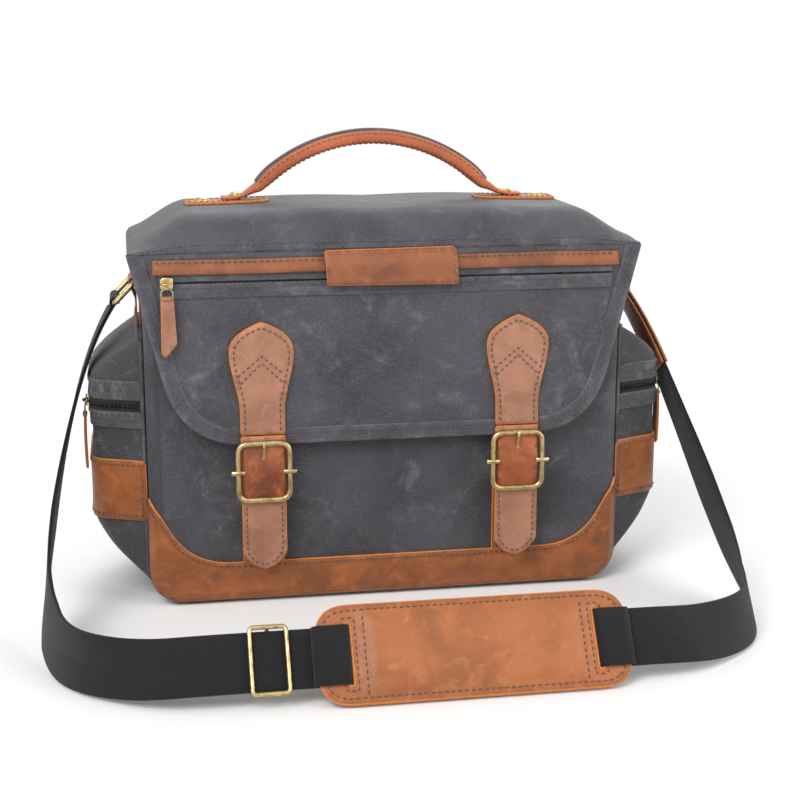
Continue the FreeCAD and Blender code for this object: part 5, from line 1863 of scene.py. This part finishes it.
def makeGlide():
    low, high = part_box("strap_triglide")
    middle = (low.x + high.x) / 2
    place = onRun(middle)
    half, tall, wire = (high.x - low.x) / 2 - 0.0014, 0.0212, 0.0015
    corners = roundCorners([(-half, -tall), (half, -tall), (half, tall), (-half, tall)], 0.0030, 6)
    pile = Pile()
    path = [Vector(place(x, w, 0.0034)) for x, w in corners]
    tube(pile, evenly3(path, 0.0015), wire, closed=True, sides=12)
    bar(pile, place(0, -tall, -0.0036), place(0, tall, -0.0036), wire)
    for end in (-1, 1):
        tube(pile, [Vector(place(0, tall * end, level)) for level in (-0.0038, 0.0, 0.0036)], wire * 0.95,
             sides=10)
    onBody(pile.make("triglide_frame", ["brass"]), "strap_triglide", "strap_triglide")


rightStations = makeWebbing()
makeChape(rightStations)
makePad()
makeGlide()
print("shoulder strap and pad")


# inside: a padded insert with two dividers, a stiff base, and a zip across the back lining
insertLow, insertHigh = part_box("insert_tray")
insert = dict(foam=0.0080, sink=0.0007, cap=0.0016, voxel=0.0045, pressure=4.0, frames=20)


def panelSkin(origin, first, second):
    # a flat panel: first and second are its two directions, its thickness grows along their cross product
    origin, first, second = Vector(origin), Vector(first), Vector(second)
    out = first.cross(second)
    return lambda u, v, d: tuple(origin + first * u + second * v + out * d)


def plumped(piece):
    # foam swells its cover: the form is remeshed, blown up by a short cloth simulation and held within a cap
    scene = bpy.context.scene
    bpy.ops.object.select_all(action="DESELECT")
    piece.select_set(True)
    bpy.context.view_layer.objects.active = piece
    piece.data.remesh_voxel_size = insert["voxel"]
    bpy.ops.object.voxel_remesh()
    rest = [spot.co.copy() for spot in piece.data.vertices]
    foam = piece.modifiers.new("foam", "CLOTH")
    foam.settings.use_pressure = True
    foam.settings.uniform_pressure_force = insert["pressure"]
    foam.settings.effector_weights.gravity = 0
    for step in range(1, insert["frames"] + 1):
        scene.frame_set(step)
    blown = piece.evaluated_get(bpy.context.evaluated_depsgraph_get()).to_mesh()
    moved = [spot.co.copy() for spot in blown.vertices]
    piece.modifiers.remove(foam)
    for spot, before, after in zip(piece.data.vertices, rest, moved):
        shift = after - before
        spot.co = before + shift * min(1.0, insert["cap"] / max(shift.length, 1e-9))
    scene.frame_set(1)
    places = [c for spot in piece.data.vertices for c in (spot.co.x + spot.co.y, spot.co.z + spot.co.y, 0.0)]
    for name, kind in (("cloth", "FLOAT_VECTOR"), ("rim", "FLOAT")):
        if name in piece.data.attributes:
            piece.data.attributes.remove(piece.data.attributes[name])
        piece.data.attributes.new(name, kind, "POINT")
    piece.data.attributes["cloth"].data.foreach_set("vector", places)
    piece.data.polygons.foreach_set("use_smooth", [True] * len(piece.data.polygons))
    return subdivided(piece)


def padPanel(name, skin, width, height, body, node=None, seam=True, top=0.003):
    # one foam panel in its cloth cover, with piping round its rim
    thick = insert["foam"] - insert["sink"] * 2
    corners = [(0, 0), (width, 0), (width, height), (0, height)]
    lifted = above(skin, insert["sink"])
    panel = plate(name, corners, lifted, thick, ["insert"], [top, top, 0.006, 0.006], bevel=0.0022,
                  spacing=0.006,
                  edge=0.004, seed=24.0 + width, crown=0.0004, fade=0.004)
    plumped(panel)
    onBody(panel, body, *([node] if node else []))
    if seam:
        pile = Pile()
        for level in (0.16, 0.84):
            flat = roundCorners([(0.0006, 0.0006), (width - 0.0006, 0.0006),
                                 (width - 0.0006, height - 0.0006),
                                 (0.0006, height - 0.0006)], [top, top, 0.006, 0.006])
            line = [Vector(lifted(u, v, thick * level)) for u, v in flat]
            tube(pile, evenly3(line, 0.004), 0.0008, closed=True, sides=6)
        onBody(pile.make(name + "_piping", ["insert"]), body)


def makeInsert():
    low, high = insertLow, insertHigh
    foam = insert["foam"]
    width, depth, height = high.x - low.x, high.y - low.y, high.z - low.z
    padPanel("insert_front", panelSkin((low.x, low.y + foam, low.z), (1, 0, 0), (0, 0, 1)), width, height,
             "case",
             "insert_tray")
    padPanel("insert_back", panelSkin((low.x, high.y, low.z), (1, 0, 0), (0, 0, 1)), width, height, "case")
    for name, x in (("left", low.x), ("right", high.x - foam)):
        padPanel("insert_" + name, panelSkin((x, low.y + foam, low.z), (0, 1, 0), (0, 0, 1)),
                 depth - foam * 2,
                 height - 0.002, "case")
    padPanel("insert_floor", panelSkin((low.x + foam, low.y + foam, low.z), (1, 0, 0), (0, 1, 0)),
             width - foam * 2,
             depth - foam * 2, "case", seam=False)
    for name in ("left", "right"):
        low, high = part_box("divider_" + name)
        padPanel("divider_panel_" + name, panelSkin((low.x, low.y, low.z), (0, 1, 0), (0, 0, 1)),
                 high.y - low.y,
                 high.z - low.z, "divider_" + name, "divider_" + name)
    low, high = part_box("base_board")
    pile = Pile()
    plate("", [(low.x, low.y), (high.x, low.y), (high.x, high.y), (low.x, high.y)],
          panelSkin((0, 0, low.z), (1, 0, 0), (0, 1, 0)), high.z - low.z, ["board"], 0.012, spacing=0.02,
          edge=0.01,
          pile=pile, make=False)
    onBody(weld(pile.make("base_stiffener", ["board"])), "case", "base_board")


def backLining(x, z, d=0.0):
    return (x, case["halfDepth"] - 0.0055 - d, z)


def makeInnerZip():
    low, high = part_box("inner_zip_tape")
    middle = (low.z + high.z) / 2
    zipTape("inner_zip_cloth", "inner_zip_tape", backLining, (low.x + 0.001, middle),
            (high.x - 0.001, middle), "case",
            half=0.0055)
    pile = Pile()
    outer = [(low.x - 0.002, low.z - 0.002), (high.x + 0.002, low.z - 0.002),
             (high.x + 0.002, high.z + 0.002),
             (low.x - 0.002, high.z + 0.002)]
    for lower, upper in ((low.z - 0.002, middle - 0.0045), (middle + 0.0045, high.z + 0.002)):
        plate("", [(outer[0][0], lower), (outer[1][0], lower), (outer[1][0], upper), (outer[0][0], upper)],
              backLining,
              0.0012, ["tape"], 0.0, bevel=0.0003, spacing=0.006, pile=pile, make=False)
    onBody(weld(pile.make("inner_zip_frame", ["tape"])), "case")
    zipHardware("inner_zip", (0, -1, 0), (1, 0, 0))


def makeFlapLining():
    # the lining of the front sheet, turned in at the binding and carried up past the crease
    inset = 0.004

    def skin(x, z, d):
        return flapFront(x, z, d - flap["thick"] - 0.0005 - 0.0007 * ease(flap["crease"] - 0.006,
                                                                          flap["crease"], z))

    outline = flapCorners(inset, flap["crease"])
    edge, top = 0.152, 0.2800
    corners = outline[:3] + [(edge, top), (-edge, top)] + outline[3:]
    radii = flapRadii(inset)[:2] + [0.0] * 4
    piece = plate("flap_front_lining", corners, skin, 0.0008, ["lining"], radii, bevel=0.0002, spacing=0.0055,
                  seed=30.0)
    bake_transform(piece)
    flatArea(corners, radii)
    stitchPiece("flap_lining_stitches", [(flapEdge(inset + 0.0022), False)], lambda x, z, d: skin(x, z, -d),
                0.0, "threadTan",
                "flap_front")


makeInsert()
makeInnerZip()
makeFlapLining()
print("insert and linings")


# camera, light and floor
stageLook = dict(azimuth=-10.0, elevation=13.0, distance=1.12, lens=70.0, room=0.62,
                 aim=(0.006, -0.085, 0.152))


def seenDirectly(tree):
    # 1 for what the camera sees straight, in a reflection or through glass
    path = tree.nodes.new("ShaderNodeLightPath")
    total = path.outputs["Is Camera Ray"]
    for key in ("Is Glossy Ray", "Is Transmission Ray"):
        most = tree.nodes.new("ShaderNodeMath")
        most.operation = "MAXIMUM"
        tree.links.new(total, most.inputs[0])
        tree.links.new(path.outputs[key], most.inputs[1])
        total = most.outputs[0]
    return total


def paleFloor():
    # white far from the bag, plain and shadowed near it
    look = bpy.data.materials.new("paleFloor")
    look.use_nodes = True
    tree = look.node_tree
    tree.nodes["Principled BSDF"].inputs["Base Color"].default_value = (0.9, 0.9, 0.9, 1)
    tree.nodes["Principled BSDF"].inputs["Roughness"].default_value = 0.9
    place = tree.nodes.new("ShaderNodeTexCoord")
    reach = tree.nodes.new("ShaderNodeVectorMath")
    reach.operation = "LENGTH"
    tree.links.new(place.outputs["Object"], reach.inputs[0])
    fade = tree.nodes.new("ShaderNodeMapRange")
    fade.interpolation_type = "SMOOTHSTEP"
    fade.inputs["From Min"].default_value = 0.42
    fade.inputs["From Max"].default_value = 0.95
    tree.links.new(reach.outputs["Value"], fade.inputs["Value"])
    both = tree.nodes.new("ShaderNodeMath")
    both.operation = "MULTIPLY"
    tree.links.new(fade.outputs["Result"], both.inputs[0])
    tree.links.new(seenDirectly(tree), both.inputs[1])
    glow = tree.nodes.new("ShaderNodeEmission")
    blendTo = tree.nodes.new("ShaderNodeMixShader")
    tree.links.new(both.outputs[0], blendTo.inputs[0])
    tree.links.new(tree.nodes["Principled BSDF"].outputs[0], blendTo.inputs[1])
    tree.links.new(glow.outputs[0], blendTo.inputs[2])
    tree.links.new(blendTo.outputs[0], tree.nodes["Material Output"].inputs["Surface"])
    return look


def whiteRoom(tree):
    # the room lights the bag softly, and is white where it is seen
    soft = tree.nodes["Background"]
    soft.inputs["Color"].default_value = (1.0, 1.0, 1.0, 1)
    soft.inputs["Strength"].default_value = stageLook["room"]
    white = tree.nodes.new("ShaderNodeBackground")
    white.inputs["Color"].default_value = (1.0, 1.0, 1.0, 1)
    blendTo = tree.nodes.new("ShaderNodeMixShader")
    tree.links.new(seenDirectly(tree), blendTo.inputs[0])
    tree.links.new(soft.outputs[0], blendTo.inputs[1])
    tree.links.new(white.outputs[0], blendTo.inputs[2])
    tree.links.new(blendTo.outputs[0], tree.nodes["World Output"].inputs["Surface"])


def makeStage():
    scene = bpy.context.scene
    floor = bpy.data.objects.new("floor", bpy.data.meshes.new("floor"))
    reach = 6.0
    floor.data.from_pydata([(-reach, -reach, 0), (reach, -reach, 0), (reach, reach, 0), (-reach, reach, 0)],
                           [],
                           [(0, 1, 2, 3)])
    look = paleFloor()
    floor.data.materials.append(look)
    scene.collection.objects.link(floor)
    world = scene.world or bpy.data.worlds.new("room")
    scene.world = world
    world.use_nodes = True
    whiteRoom(world.node_tree)
    for name, place, size, power in (("key", (-1.5, -1.9, 2.3), 1.6, 62), ("fill", (2.2, -1.6, 1.3), 1.8, 26),
                                     ("back", (0.5, 2.0, 2.0), 1.6, 26)):
        lamp = bpy.data.lights.new(name, "AREA")
        lamp.energy = power
        lamp.size = size
        holder = bpy.data.objects.new(name, lamp)
        holder.location = place
        aim = Vector((0, -0.05, 0.12)) - Vector(place)
        holder.rotation_euler = aim.to_track_quat("-Z", "Y").to_euler()
        scene.collection.objects.link(holder)
    lens = bpy.data.cameras.new("camera")
    lens.lens = stageLook["lens"]
    camera = bpy.data.objects.new("camera", lens)
    turn = math.radians(stageLook["azimuth"])
    tip = math.radians(stageLook["elevation"])
    aim = Vector(stageLook["aim"])
    away = Vector((math.sin(turn) * math.cos(tip), -math.cos(turn) * math.cos(tip), math.sin(tip)))
    camera.location = aim + away * stageLook["distance"]
    camera.rotation_euler = (-away).to_track_quat("-Z", "Y").to_euler()
    scene.collection.objects.link(camera)
    scene.camera = camera
    scene.view_settings.view_transform = "Standard"


makeStage()
print("stage")
